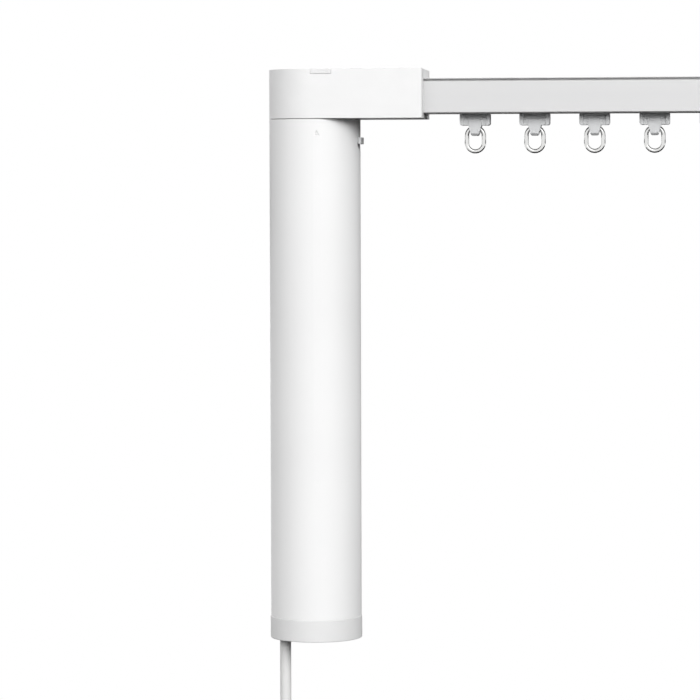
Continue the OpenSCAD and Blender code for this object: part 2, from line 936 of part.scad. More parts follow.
module latch_spring() {
    low = plate_z + snap_gap + spring_wire / 2;
    high = latch_z0 - spring_wire / 2;
    count = spring_rings * spring_turns;
    path = [
        for (i = [0:count])
            let (a = 360 * i / spring_rings)
            [spring_x + spring_r * cos(a), spring_r * sin(a), low + (high - low) * i / count]
    ];
    color(steel) on_motor() swept_tube(path, spring_wire / 2, loop_sides, [0, 0, 1]);
}

// Motor

// Thin triangle outline standing on the XZ plane
module mark_outline() {
    shrink = 1 - 3 * mark_line / mark_h;
    tip = [[-mark_w / 2, -mark_h / 3], [mark_w / 2, -mark_h / 3], [0, 2 * mark_h / 3]];
    difference() {
        polygon(tip);
        polygon(tip * shrink);
    }
}

module motor_tube() {
    scoop_top = latch_z0 + cut;
    color(white)
        on_motor()
            difference() {
                post(tube_d / 2, tube_end, tube_top);
                post(tube_in, tube_end - cut, tube_top + cut);
                block([0, -latch_stem / 2, latch_z0 - latch_travel - seat_gap],
                    [tube_d, latch_stem / 2, latch_z1 + seat_gap]);
                intersection() {
                    translate([0, 0, latch_z0 - scoop_depth + scoop_r])
                        rotate([0, 90, 0]) cylinder(r = scoop_r, h = tube_d);
                    block([0, -tube_d, latch_z0 - 2 * scoop_depth], [tube_d, tube_d, scoop_top]);
                }
                rotate(mark_angle)
                    translate([0, -tube_d / 2, mark_z]) y_plate(mark_depth) mark_outline();
            }
}

module end_cap() {
    floor_top = cap_bottom + cap_floor;
    stay_top = floor_top + stay_h;
    slit = board_t / 2 + run_gap;
    color(grey)
        on_motor()
            difference() {
                union() {
                    post(cap_d / 2, cap_bottom + cap_chamfer, cap_top);
                    translate([0, 0, cap_bottom])
                        cylinder(r1 = cap_d / 2 - cap_chamfer, r2 = cap_d / 2, h = cap_chamfer);
                    post(fit_r, cap_top - cut, cap_top + skirt_h);
                }
                difference() {
                    union() {
                        post(cap_d / 2 - cap_wall, floor_top, cap_top - cut);
                        post(fit_r - skirt_wall, floor_top, cap_top + skirt_h + stay_h);
                    }
                    for (s = [-1, 1])
                        difference() {
                            block([s * stay_x - stay_w / 2, board_y - stay_t / 2, cap_bottom],
                                [s * stay_x + stay_w / 2, board_y + stay_t / 2, stay_top]);
                            block([-tube_d, board_y - slit, stay_top - board_grip],
                                [tube_d, board_y + slit, stay_top + cut]);
                        }
                }
                translate([-cord_offset, 0, 0]) post(gland_r + run_gap, cap_bottom - cut, floor_top + cut);
                translate(button_spot) post(button_r + seat_gap, cap_bottom - cut, floor_top + cut);
            }
}

module gearbox_plate() {
    outer = main_bearing[1] / 2;
    color(nylon)
        on_motor()
            difference() {
                post(fit_r, plate_z - plate_t, plate_z);
                post(outer + run_gap, plate_z - plate_t + plate_lip, plate_z + cut);
                post(outer - race_t, plate_z - plate_t - cut, plate_z + cut);
            }
}

module output_spindle() {
    pin_low = gear_z - snap_gap;
    journal = main_bearing[0] / 2 - run_gap;
    color(steel)
        on_motor() {
            post(arm_r, arm_z, arm_z + arm_t);
            post(journal, arm_z, plate_z);
            post(spindle_r, plate_z - cut, hub_low - sink);
            translate([0, 0, hub_low - cut]) cylinder(r = hex_r, h = hex_len + sink, $fn = 6);
            for (a = planet_angles) translate(polar(orbit, a)) post(pin_r, pin_low, arm_z + cut);
        }
}

module ring_gear() {
    color(nylon)
        on_motor()
            slab(ring_z, ring_z + ring_len)
                difference() {
                    circle(r = fit_r);
                    gear_outline(ring_teeth, dedendum, ring_addendum, -backlash);
                }
}

module sun_shaft() {
    gear_low = gear_z - cut;
    color(steel)
        on_motor() {
            slab(gear_low, arm_z - arm_gap) gear_outline(sun_teeth, addendum, dedendum, backlash);
            post(shaft_r, ring_z - flange_h - shaft_in, gear_low + cut);
        }
}

// A planet's turn at rest puts its teeth between the sun's
module planet_gear(angle) {
    turn = angle * (1 + sun_teeth / planet_teeth) + 180 - 180 / planet_teeth;
    color(metal)
        on_motor()
            translate(polar(orbit, angle))
                difference() {
                    slab(gear_z, gear_z + gear_w)
                        rotate(turn) gear_outline(planet_teeth, addendum, dedendum, backlash);
                    post(pin_r + run_gap, gear_z - cut, arm_z + cut);
                }
}

module motor_can() {
    color(steel)
        on_motor()
            difference() {
                union() {
                    post(fit_r, ring_z - flange_h, ring_z);
                    post(can_d / 2, can_z, ring_z - flange_h + cut);
                }
                post(shaft_r + run_gap, ring_z - flange_h - shaft_in - cut, ring_z + cut);
                post(can_hollow_r, can_z + can_end, ring_z - flange_h - can_end);
            }
}

module motor_damper() {
    color("dimgray")
        on_motor()
            difference() {
                post(fit_r, can_z + damper_up, can_z + damper_up + damper_h);
                post(can_d / 2 + run_gap, can_z, can_z + damper_up + damper_h + cut);
            }
}

module control_board() {
    low = cap_bottom + cap_floor + stay_h - board_grip;
    front = board_y - board_t / 2;
    color("seagreen")
        on_motor()
            translate([0, front, low]) {
                translate([-board_w / 2, 0, 0]) cube([board_w, board_t, board_len]);
                translate(capacitor_at) rotate([90, 0, 0]) cylinder(r = capacitor_r, h = capacitor_h);
                for (part = [[transformer_at, transformer], [relay_at, relay], [filter_at, filter]])
                    translate(part[0] - [0, part[1][1], 0]) cube(part[1]);
            }
}

module pairing_button() {
    floor_top = cap_bottom + cap_floor;
    color(white)
        on_motor()
            translate(button_spot) {
                post(button_r, cap_bottom - button_out, floor_top + cut);
                post(button_r + button_flange, floor_top + run_gap, floor_top + run_gap + button_flange);
            }
}

// Mains cord

module cord_gland() {
    seat = cap_bottom + cap_floor;
    color(nylon)
        translate([gland_mouth[0], 0, 0]) {
            post(gland_r, gland_mouth[2], seat + cut);
            post(gland_flange_r, seat, seat + gland_flange_t);
            translate([0, 0, seat + cut]) cylinder(r1 = gland_r, r2 = cord_r, h = gland_boot);
        }
}

module power_cord() {
    color(grey) translate(gland_mouth) swept_tube(cord_route, cord_r, cord_sides, [0, 1, 0]);
}

module cord_coil() {
    color(grey) swept_tube(coil_path, cord_r, loop_sides, [0, 1, 0]);
}

module cord_tie() {
    inner_r = turn_radius(coil_mid) - cord_r - tie_gap;
    outer_r = turn_radius(0.5) + cord_r + tie_gap;
    deep = layer_step + cord_d + 2 * tie_gap;
    wide = outer_r - inner_r;
    middle = [(inner_r + outer_r) / 2, layer_step / 2 - deep / 2, 0];
    color("dimgray")
        translate(coil_centre + middle) {
            slab(-tie_w / 2, tie_w / 2)
                difference() {
                    translate([0, -tie_t]) soft_rect(wide + 2 * tie_t, deep + 2 * tie_t, tie_corner + tie_t);
                    soft_rect(wide, deep, tie_corner);
                }
            translate([wide / 2 + tie_t / 2, (deep - tie_lock) / 2, -tie_w / 2])
                cube([tie_lock / 2, tie_lock, tie_w]);
        }
}

module plug_body() {
    half = plug_w / 2;
    neck = plug_neck_w / 2;
    right = [[neck, 0], [half, -plug_len / 2], [half, -plug_len]];
    left = [for (i = [2:-1:0]) [-right[i][0], right[i][1]]];
    color(grey)
        translate(tail_end) {
            translate([0, 0, -plug_relief]) cylinder(r1 = relief_r, r2 = cord_r + cut, h = plug_relief);
            translate([0, 0, plug_sink - plug_relief]) y_plate(plug_t / 2) polygon(concat(right, left));
        }
}

module plug_pins() {
    face = plug_sink - plug_relief - plug_len;
    color(metal)
        translate(tail_end)
            for (s = [-1, 1])
                translate([s * prong_half, 0, face]) {
                    post(prong_r, prong_r - prong_len, 0);
                    translate([0, 0, prong_r - prong_len]) sphere(r = prong_r);
                }
}

// Carriers: drawn round the carrier's middle, with heights above the rail's underside

// One axle with a wheel at each end, turned about Y
module wheel_set() {
    r = wheel_d / 2;
    far = wheel_in + wheel_w;
    half = [
        [axle_r, wheel_in], [r - wheel_edge, wheel_in], [r, wheel_in + wheel_edge],
        [r, far - wheel_edge], [r - wheel_edge, far], [0, far]
    ];
    back = [for (i = [len(half) - 1:-1:0]) [half[i][0], -half[i][1]]];
    translate([0, 0, axle_v]) rotate([90, 0, 0]) rotate_extrude() polygon(concat(half, back));
}

// Open bearing for an axle, cut through the block
module axle_slot() {
    snap_w = 2 * axle_r * snap_share;
    translate([0, 0, axle_v]) y_rod(axle_r + run_gap, block_t);
    block([-snap_w / 2, -block_t, axle_v], [snap_w / 2, block_t, block_top + cut]);
}

// Flange under the rail: a bar with an ear at each end and a thin web between them
module carrier_flange(length) {
    half = length / 2;
    high = carrier_drop - under_gap;
    difference() {
        translate([0, 0, -carrier_drop])
            y_plate(ear_depth) {
                soft_rect(length, high, corner_r);
                translate([-half, high / 2]) square([length, high / 2]);
            }
        for (s = [0, 1])
            mirror([0, s, 0]) {
                block([ear_x - half, bar_depth, -carrier_drop - cut],
                    [half - ear_x, ear_depth + cut, tongue_top]);
                block([ear_x - half, web_depth, tongue_top], [half - ear_x, ear_depth + cut, 0]);
            }
    }
}

module tongue() {
    top = tongue_w / 2;
    tip = tongue_tip_w / 2;
    foot = tongue_top - tongue_h;
    right = [[top, tongue_top], [top, -carrier_drop], [tip, foot + tip_corner], [tip - tip_corner, foot]];
    left = [for (i = [3:-1:0]) [-right[i][0], right[i][1]]];
    back = [[tongue_depth, tongue_top], [tongue_depth, foot + tip_rise], [tongue_depth - tip_bevel, foot]];
    front = [for (i = [2:-1:0]) [-back[i][0], back[i][1]]];
    intersection() {
        y_plate(tongue_depth) polygon(concat(right, left));
        rotate([90, 0, 90]) linear_extrude(height = tongue_w + 2 * cut, center = true)
            polygon(concat(back, front));
    }
}

// The eye that the ring hangs in, over a saddle that follows the ring's inside
module ring_eye() {
    difference() {
        block([-tongue_w, -ring_slot, tongue_top - tongue_h], [tongue_w, ring_slot, ring_top + roll_gap]);
        translate([0, 0, ring_arc]) y_rod(saddle_r, ring_slot + cut);
    }
}

module carrier_body(length, axles) {
    half = length / 2;
    difference() {
        union() {
            block([block_inset - half, -block_t / 2, block_low],
                [half - block_inset, block_t / 2, block_top]);
            block([ear_x - half, -neck_t / 2, -under_gap - cut],
                [half - ear_x, neck_t / 2, block_low + sink]);
            carrier_flange(length);
            tongue();
        }
        ring_eye();
        for (x = axles) translate([x, 0, 0]) axle_slot();
    }
}

// A wire ring: a short bar in its hook, a bend and a leg on each side, and a half turn below
module wire_ring() {
    r = ring_wire / 2;
    translate([0, 0, ring_pivot]) rotate([0, 90, 0]) cylinder(r = r, h = ring_bar, center = true);
    translate([ring_bar / 2, 0, ring_arc])
        rotate([90, 0, 0]) rotate_extrude(angle = 90) translate([ring_bend, 0]) circle(r = r);
    translate([-ring_bar / 2, 0, ring_arc])
        rotate([90, 0, 0]) rotate(90) rotate_extrude(angle = 90) translate([ring_bend, 0]) circle(r = r);
    translate([0, 0, ring_foot])
        rotate([90, 0, 0]) rotate(180) rotate_extrude(angle = 180) translate([ring_mid_r, 0]) circle(r = r);
    for (s = [-1, 1]) translate([s * ring_mid_r, 0, 0]) post(r, ring_foot, ring_arc);
}

function carrier_x(i) = first_carrier + (i - 1) * carrier_pitch;

module carrier(i) {
    color(nylon) on_rail(carrier_x(i)) carrier_body(carrier_len, [0]);
}

module wheels(i) {
    color(white) on_rail(carrier_x(i)) wheel_set();
}

module ring(i) {
    color(metal) on_rail(carrier_x(i)) wire_ring();
}

module drive_carrier() {
    color(nylon)
        on_rail(drive_x) {
            carrier_body(drive_len, [-drive_axle, drive_axle]);
            block([-arm_half, -block_t / 2, block_top - sink], [arm_half, block_t / 2, arm_top]);
            block([-arm_half, -jaw_y, arm_low], [arm_half, 0, arm_top]);
        }
}

// Jaw on the driving carrier's arm, with teeth between the front run's belt teeth
module belt_jaw() {
    root = belt_in - jaw_gap;
    tip = belt_land - jaw_gap;
    wide = (belt_pitch - tooth_tip) / 2 - jaw_gap;
    narrow = (belt_pitch - tooth_base) / 2 - jaw_gap;
    color(steel)
        on_rail(drive_x)
            slab(arm_low + seat_gap, arm_top - seat_gap) {
                translate([-arm_half, -root]) square([2 * arm_half, root - jaw_y]);
                for (k = [-1.5:1:1.5])
                    translate([k * belt_pitch, 0]) {
                        polygon([[-wide, -root], [-narrow, -tip], [narrow, -tip], [wide, -root]]);
                        translate([-wide, -root - hair]) square([2 * wide, sink]);
                    }
            }
}

module drive_wheels_1() {
    color(white) on_rail(drive_x - drive_axle) wheel_set();
}

module drive_wheels_2() {
    color(white) on_rail(drive_x + drive_axle) wheel_set();
}

module drive_ring() {
    color(metal) on_rail(drive_x) wire_ring();
}

// End unit

module end_housing() {
    rail_half = rail_w / 2 + seat_gap;
    near = rail_end - end_grip - idler_x;
    wall_in = end_r - end_wall;
    middle = rail_end - end_grip / 2 - idler_x;
    color(white)
        translate([motor_x + idler_x, 0, 0])
            difference() {
                union() {
                    difference() {
                        slab(end_bottom, end_top) end_plan(0);
                        slab(head_floor_z, end_top + cut) end_plan(end_wall);
                        slab(end_cover_z - run_gap, end_top + cut) end_plan(rim);
                    }
                    post(idler_boss_r, head_floor_z - sink, groove_z0 - flange_t - seat_gap);
                    for (p = end_screws())
                        translate(p) post(end_post_r, head_floor_z - sink, end_cover_z - run_gap);
                    for (s = [0, 1])
                        mirror([0, s, 0])
                            block([middle - rib_t / 2, rail_half, head_floor_z - sink],
                                [middle + rib_t / 2, wall_in + sink, rail_top]);
                    translate([middle, rail_half, grub_z])
                        rotate([-90, 0, 0]) cylinder(r = grub_boss_r, h = wall_in + sink - rail_half);
                }
                block([near - cut, -rail_half, head_floor_z],
                    [near + end_wall + cut, rail_half, rail_top + seat_gap]);
                for (p = end_screws()) translate(p) post(pilot_r, end_cover_z - screw_len, end_top);
                post(pin_axle_r + run_gap, head_floor_z, groove_z0);
                translate([middle, rail_half - cut, grub_z])
                    rotate([-90, 0, 0]) cylinder(r = grub_r + run_gap, h = end_r);
            }
}

module end_cover() {
    color(white)
        translate([motor_x + idler_x, 0, 0])
            difference() {
                union() {
                    slab(end_cover_z, end_top) end_plan(rim + seat_gap);
                    post(idler_boss_r, groove_z1 + flange_t + seat_gap, end_cover_z + sink);
                }
                post(pin_axle_r + run_gap, groove_z1, end_cover_z + sink);
                screw_seats(end_screws(), end_top);
            }
}

module idler_pulley() {
    color(nylon)
        translate([motor_x + idler_x, 0, 0])
            difference() {
                pulley_body();
                post(pin_axle_r + run_gap, groove_z0 - flange_t - cut, groove_z1 + flange_t + cut);
            }
}

module idler_axle() {
    color(steel)
        translate([motor_x + idler_x, 0, 0])
            post(pin_axle_r, head_floor_z + run_gap, end_cover_z + sink - run_gap);
}

module cover_screw(top) {
    difference() {
        union() {
            post(screw_r, top - screw_len, top - screw_cap_h + sink);
            post(screw_cap_r, top - screw_cap_h + run_gap, top - run_gap);
        }
        translate([0, 0, top - driver_depth]) cylinder(r = driver_r, h = driver_depth + cut, $fn = 6);
    }
}

module cover_screws() {
    color(steel) {
        for (p = head_screws()) translate([motor_x + p[0], p[1], 0]) cover_screw(head_top);
        for (p = end_screws()) translate([motor_x + idler_x + p[0], p[1], 0]) cover_screw(end_top);
    }
}

// Set screws that press the rail against the front ribs
module grub_screw(outside) {
    length = outside - grub_sink - rail_w / 2;
    translate([0, rail_w / 2, rail_h / 2])
        rotate([-90, 0, 0])
            difference() {
                cylinder(r = grub_r, h = length);
                translate([0, 0, length - grub_socket])
                    cylinder(r = grub_key_r, h = grub_socket + cut, $fn = 6);
            }
}

module grub_screws() {
    color(steel) {
        for (x = grub_x) on_rail(x) grub_screw(head_r);
        on_rail(rail_end - end_grip / 2) grub_screw(end_r);
    }
}

rail();
drive_belt();
clip_bodies();
clip_lever_1();
clip_lever_2();
end_housing();
end_cover();
idler_pulley();
idler_axle();
cover_screws();
grub_screws();
head_housing();
head_cover();
drive_pulley();
bearings();
latch();
latch_spring();
motor_tube();
end_cap();
gearbox_plate();
output_spindle();
ring_gear();
sun_shaft();
for (k = [0:2]) planet_gear(planet_angles[k]);
motor_can();
motor_damper();
control_board();
pairing_button();
cord_gland();
power_cord();
cord_coil();
cord_tie();
plug_body();
plug_pins();
drive_carrier();
belt_jaw();
drive_wheels_1();
drive_wheels_2();
drive_ring();
for (i = [1:carrier_count]) carrier(i);
for (i = [1:carrier_count]) wheels(i);
for (i = [1:carrier_count]) ring(i);
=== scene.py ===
"""Looks of an electric curtain track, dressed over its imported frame.

A white tubular motor hangs under a drive head at one end of a silver ceiling rail. Grey carriers with
bright wire rings run in the slot under the rail, and a pale mains cord leaves the motor's bottom cap.
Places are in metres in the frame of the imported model, and sizes that end in _mm are in millimetres.
"""

import json
import logging
import math
from collections.abc import Iterable, Sequence
from dataclasses import dataclass, field
from enum import Enum

import bmesh
import bpy
from mathutils import Matrix, Vector
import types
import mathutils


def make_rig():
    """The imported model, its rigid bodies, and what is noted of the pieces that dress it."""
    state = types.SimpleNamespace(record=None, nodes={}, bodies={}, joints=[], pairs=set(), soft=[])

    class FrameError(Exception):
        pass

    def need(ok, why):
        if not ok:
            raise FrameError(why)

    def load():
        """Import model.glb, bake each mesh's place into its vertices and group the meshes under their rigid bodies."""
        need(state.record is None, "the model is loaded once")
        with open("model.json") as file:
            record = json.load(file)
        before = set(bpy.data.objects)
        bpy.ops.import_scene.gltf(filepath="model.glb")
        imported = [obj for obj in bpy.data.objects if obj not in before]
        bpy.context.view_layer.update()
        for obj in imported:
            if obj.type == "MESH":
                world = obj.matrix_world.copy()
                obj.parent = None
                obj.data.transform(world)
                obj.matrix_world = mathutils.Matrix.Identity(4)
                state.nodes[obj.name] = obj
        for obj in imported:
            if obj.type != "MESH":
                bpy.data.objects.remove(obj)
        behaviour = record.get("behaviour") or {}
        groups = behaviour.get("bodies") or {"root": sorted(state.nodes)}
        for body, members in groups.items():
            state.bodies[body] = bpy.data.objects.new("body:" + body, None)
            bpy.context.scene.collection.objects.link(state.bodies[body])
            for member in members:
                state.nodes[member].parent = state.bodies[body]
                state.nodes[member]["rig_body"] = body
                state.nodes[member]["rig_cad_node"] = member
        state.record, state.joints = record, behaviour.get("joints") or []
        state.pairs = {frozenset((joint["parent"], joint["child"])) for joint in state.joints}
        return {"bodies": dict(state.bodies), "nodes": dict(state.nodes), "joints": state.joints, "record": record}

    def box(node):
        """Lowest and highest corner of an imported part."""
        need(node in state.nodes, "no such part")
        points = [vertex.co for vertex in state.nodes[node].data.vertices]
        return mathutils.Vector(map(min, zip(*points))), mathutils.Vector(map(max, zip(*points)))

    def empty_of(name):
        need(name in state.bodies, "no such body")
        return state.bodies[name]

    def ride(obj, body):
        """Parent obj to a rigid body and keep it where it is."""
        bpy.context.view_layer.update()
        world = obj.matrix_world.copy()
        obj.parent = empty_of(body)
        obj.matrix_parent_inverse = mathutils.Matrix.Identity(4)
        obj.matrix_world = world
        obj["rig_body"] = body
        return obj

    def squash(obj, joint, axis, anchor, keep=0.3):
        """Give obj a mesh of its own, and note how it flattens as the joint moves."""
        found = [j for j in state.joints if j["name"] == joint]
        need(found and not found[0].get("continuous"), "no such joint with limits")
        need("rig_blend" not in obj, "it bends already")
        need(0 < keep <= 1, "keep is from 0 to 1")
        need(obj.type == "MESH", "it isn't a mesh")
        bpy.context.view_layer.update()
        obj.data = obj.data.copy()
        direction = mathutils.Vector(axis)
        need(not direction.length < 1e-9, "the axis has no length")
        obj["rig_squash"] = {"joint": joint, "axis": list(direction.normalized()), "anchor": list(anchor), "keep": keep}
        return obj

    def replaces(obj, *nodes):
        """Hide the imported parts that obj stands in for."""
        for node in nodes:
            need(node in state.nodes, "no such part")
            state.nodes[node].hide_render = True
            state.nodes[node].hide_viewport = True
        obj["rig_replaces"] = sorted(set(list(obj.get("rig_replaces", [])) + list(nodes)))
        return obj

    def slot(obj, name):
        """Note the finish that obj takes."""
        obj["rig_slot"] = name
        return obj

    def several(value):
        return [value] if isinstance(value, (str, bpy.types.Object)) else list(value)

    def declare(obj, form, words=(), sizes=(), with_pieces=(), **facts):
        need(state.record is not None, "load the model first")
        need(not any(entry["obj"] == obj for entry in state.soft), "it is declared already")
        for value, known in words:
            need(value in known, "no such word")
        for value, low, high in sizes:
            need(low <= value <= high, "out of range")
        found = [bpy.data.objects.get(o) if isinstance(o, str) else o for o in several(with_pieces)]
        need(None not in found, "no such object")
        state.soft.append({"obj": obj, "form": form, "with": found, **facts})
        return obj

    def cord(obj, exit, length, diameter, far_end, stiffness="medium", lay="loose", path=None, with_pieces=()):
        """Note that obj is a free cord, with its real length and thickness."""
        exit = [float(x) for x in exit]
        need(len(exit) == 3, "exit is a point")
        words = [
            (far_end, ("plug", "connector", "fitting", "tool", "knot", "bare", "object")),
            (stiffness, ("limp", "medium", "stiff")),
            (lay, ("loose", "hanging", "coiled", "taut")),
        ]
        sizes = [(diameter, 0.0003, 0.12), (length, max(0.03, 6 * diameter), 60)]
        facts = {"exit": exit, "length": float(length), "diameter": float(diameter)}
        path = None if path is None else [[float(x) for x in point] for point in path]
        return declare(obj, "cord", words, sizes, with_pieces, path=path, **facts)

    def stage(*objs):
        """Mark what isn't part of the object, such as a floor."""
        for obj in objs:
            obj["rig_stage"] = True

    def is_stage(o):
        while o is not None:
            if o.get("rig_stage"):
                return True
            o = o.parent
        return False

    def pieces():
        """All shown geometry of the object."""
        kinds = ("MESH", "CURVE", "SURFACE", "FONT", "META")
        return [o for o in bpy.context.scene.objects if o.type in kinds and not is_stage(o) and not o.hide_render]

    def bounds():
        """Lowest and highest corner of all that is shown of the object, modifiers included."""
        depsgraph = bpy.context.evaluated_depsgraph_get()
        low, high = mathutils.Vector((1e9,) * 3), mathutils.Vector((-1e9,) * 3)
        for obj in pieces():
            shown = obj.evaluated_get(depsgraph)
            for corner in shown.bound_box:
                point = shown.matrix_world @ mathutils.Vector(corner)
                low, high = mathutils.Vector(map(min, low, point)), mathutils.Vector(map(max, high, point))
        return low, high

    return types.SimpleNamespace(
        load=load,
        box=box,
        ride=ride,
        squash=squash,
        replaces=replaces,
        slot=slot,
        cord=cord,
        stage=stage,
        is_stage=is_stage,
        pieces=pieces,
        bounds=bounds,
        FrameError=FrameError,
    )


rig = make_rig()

LOG = logging.getLogger("curtain_track")
MM = 0.001
SIZE_FILE = "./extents.json"
WELD = 1e-6

# Patterns: detail of the fine grain and of the clouds, and where the clouds start and end.
GRAIN_DETAIL = 3.0
GRAIN_ROUGHNESS = 0.6
CLOUD_GRAINS = 40
CLOUD_DETAIL = 2.0
CLOUD_STOPS = (0.35, 0.75)

Point = tuple[float, float, float]
Span = tuple[float, float]


def linear(code: str) -> tuple[float, float, float, float]:
    """Turn an sRGB hex colour into linear light.

    Args:
        code: The colour as "#rrggbb".

    Returns:
        Red, green, blue and an alpha of 1.
    """
    channels = [int(code[i:i + 2], 16) / 255 for i in (1, 3, 5)]
    return (*[c / 12.92 if c <= 0.04045 else ((c + 0.055) / 1.055) ** 2.4 for c in channels], 1.0)


def add_node(tree: bpy.types.NodeTree, kind: str, inputs: dict | None = None, **settings) -> bpy.types.Node:
    """Add a node with its settings, its input values and its links.

    Args:
        tree: The node tree that gets the node.
        kind: The node's type name.
        inputs: Values or output sockets, by the name or the index of the input socket.
        settings: Properties of the node.

    Returns:
        The new node.
    """
    node = tree.nodes.new(kind)
    for name, value in settings.items():
        setattr(node, name, value)
    for key, value in (inputs or {}).items():
        if isinstance(value, bpy.types.NodeSocket):
            tree.links.new(value, node.inputs[key])
        else:
            node.inputs[key].default_value = value
    return node


class Grain(Enum):
    """How a surface was made. The value squeezes its pattern along X, Y and Z."""

    MOULDED = (1.0, 1.0, 1.0)
    COATED = (1.0, 1.0, 0.8)
    EXTRUDED = (0.01, 1.0, 1.0)
    ROLLED = (0.15, 1.0, 1.0)
    TURNED = (1.0, 1.0, 4.0)


@dataclass(frozen=True)
class Finish:
    """One material, from what it is and how its surface was made.

    Args:
        name: Name of the material.
        base: Main colour, as sRGB hex.
        cloud: Colour of the faint clouds in it, as sRGB hex.
        roughness: Middle of its roughness.
        spread: How far the roughness wanders from its middle.
        grain: How the surface was made.
        grain_mm: Width of the grain.
        depth_mm: Depth of the grain.
        metallic: Share of bare metal in its look, from 0 to 1.
        ior: Index of refraction of a coat or plastic. A metal keeps the default.
    """

    name: str
    base: str
    cloud: str
    roughness: float
    spread: float
    grain: Grain
    grain_mm: float
    depth_mm: float
    metallic: float = 0.0
    ior: float = 1.5

    def material(self) -> bpy.types.Material:
        """Return the material, which is made once."""
        return bpy.data.materials.get(self.name) or self.make()

    def make(self) -> bpy.types.Material:
        """Make the node material.

        Returns:
            The new material.
        """
        made = bpy.data.materials.new(self.name)
        made.use_nodes = True
        tree = made.node_tree
        place = add_node(tree, "ShaderNodeTexCoord").outputs["Object"]
        laid = add_node(tree, "ShaderNodeMapping", {
            "Vector": place, "Scale": self.grain.value,
        }).outputs["Vector"]
        fine = add_node(tree, "ShaderNodeTexNoise", {
            "Vector": laid, "Scale": 1 / (self.grain_mm * MM), "Detail": GRAIN_DETAIL,
            "Roughness": GRAIN_ROUGHNESS,
        }).outputs["Fac"]
        broad = add_node(tree, "ShaderNodeTexNoise", {
            "Vector": laid, "Scale": 1 / (CLOUD_GRAINS * self.grain_mm * MM), "Detail": CLOUD_DETAIL,
        }).outputs["Fac"]
        colour = add_node(tree, "ShaderNodeValToRGB", {"Fac": broad})
        for stop, code, at in zip(colour.color_ramp.elements, (self.base, self.cloud), CLOUD_STOPS):
            stop.color = linear(code)
            stop.position = at
        gloss = add_node(tree, "ShaderNodeMapRange", {
            "Value": fine, "To Min": self.roughness - self.spread, "To Max": self.roughness + self.spread,
        })
        relief = add_node(tree, "ShaderNodeBump", {
            "Height": fine, "Strength": 1.0, "Distance": self.depth_mm * MM,
        })
        shader = tree.nodes["Principled BSDF"]
        tree.links.new(colour.outputs["Color"], shader.inputs["Base Color"])
        tree.links.new(gloss.outputs["Result"], shader.inputs["Roughness"])
        tree.links.new(relief.outputs["Normal"], shader.inputs["Normal"])
        shader.inputs["Metallic"].default_value = self.metallic
        if not self.metallic:
            shader.inputs["IOR"].default_value = self.ior
        return made


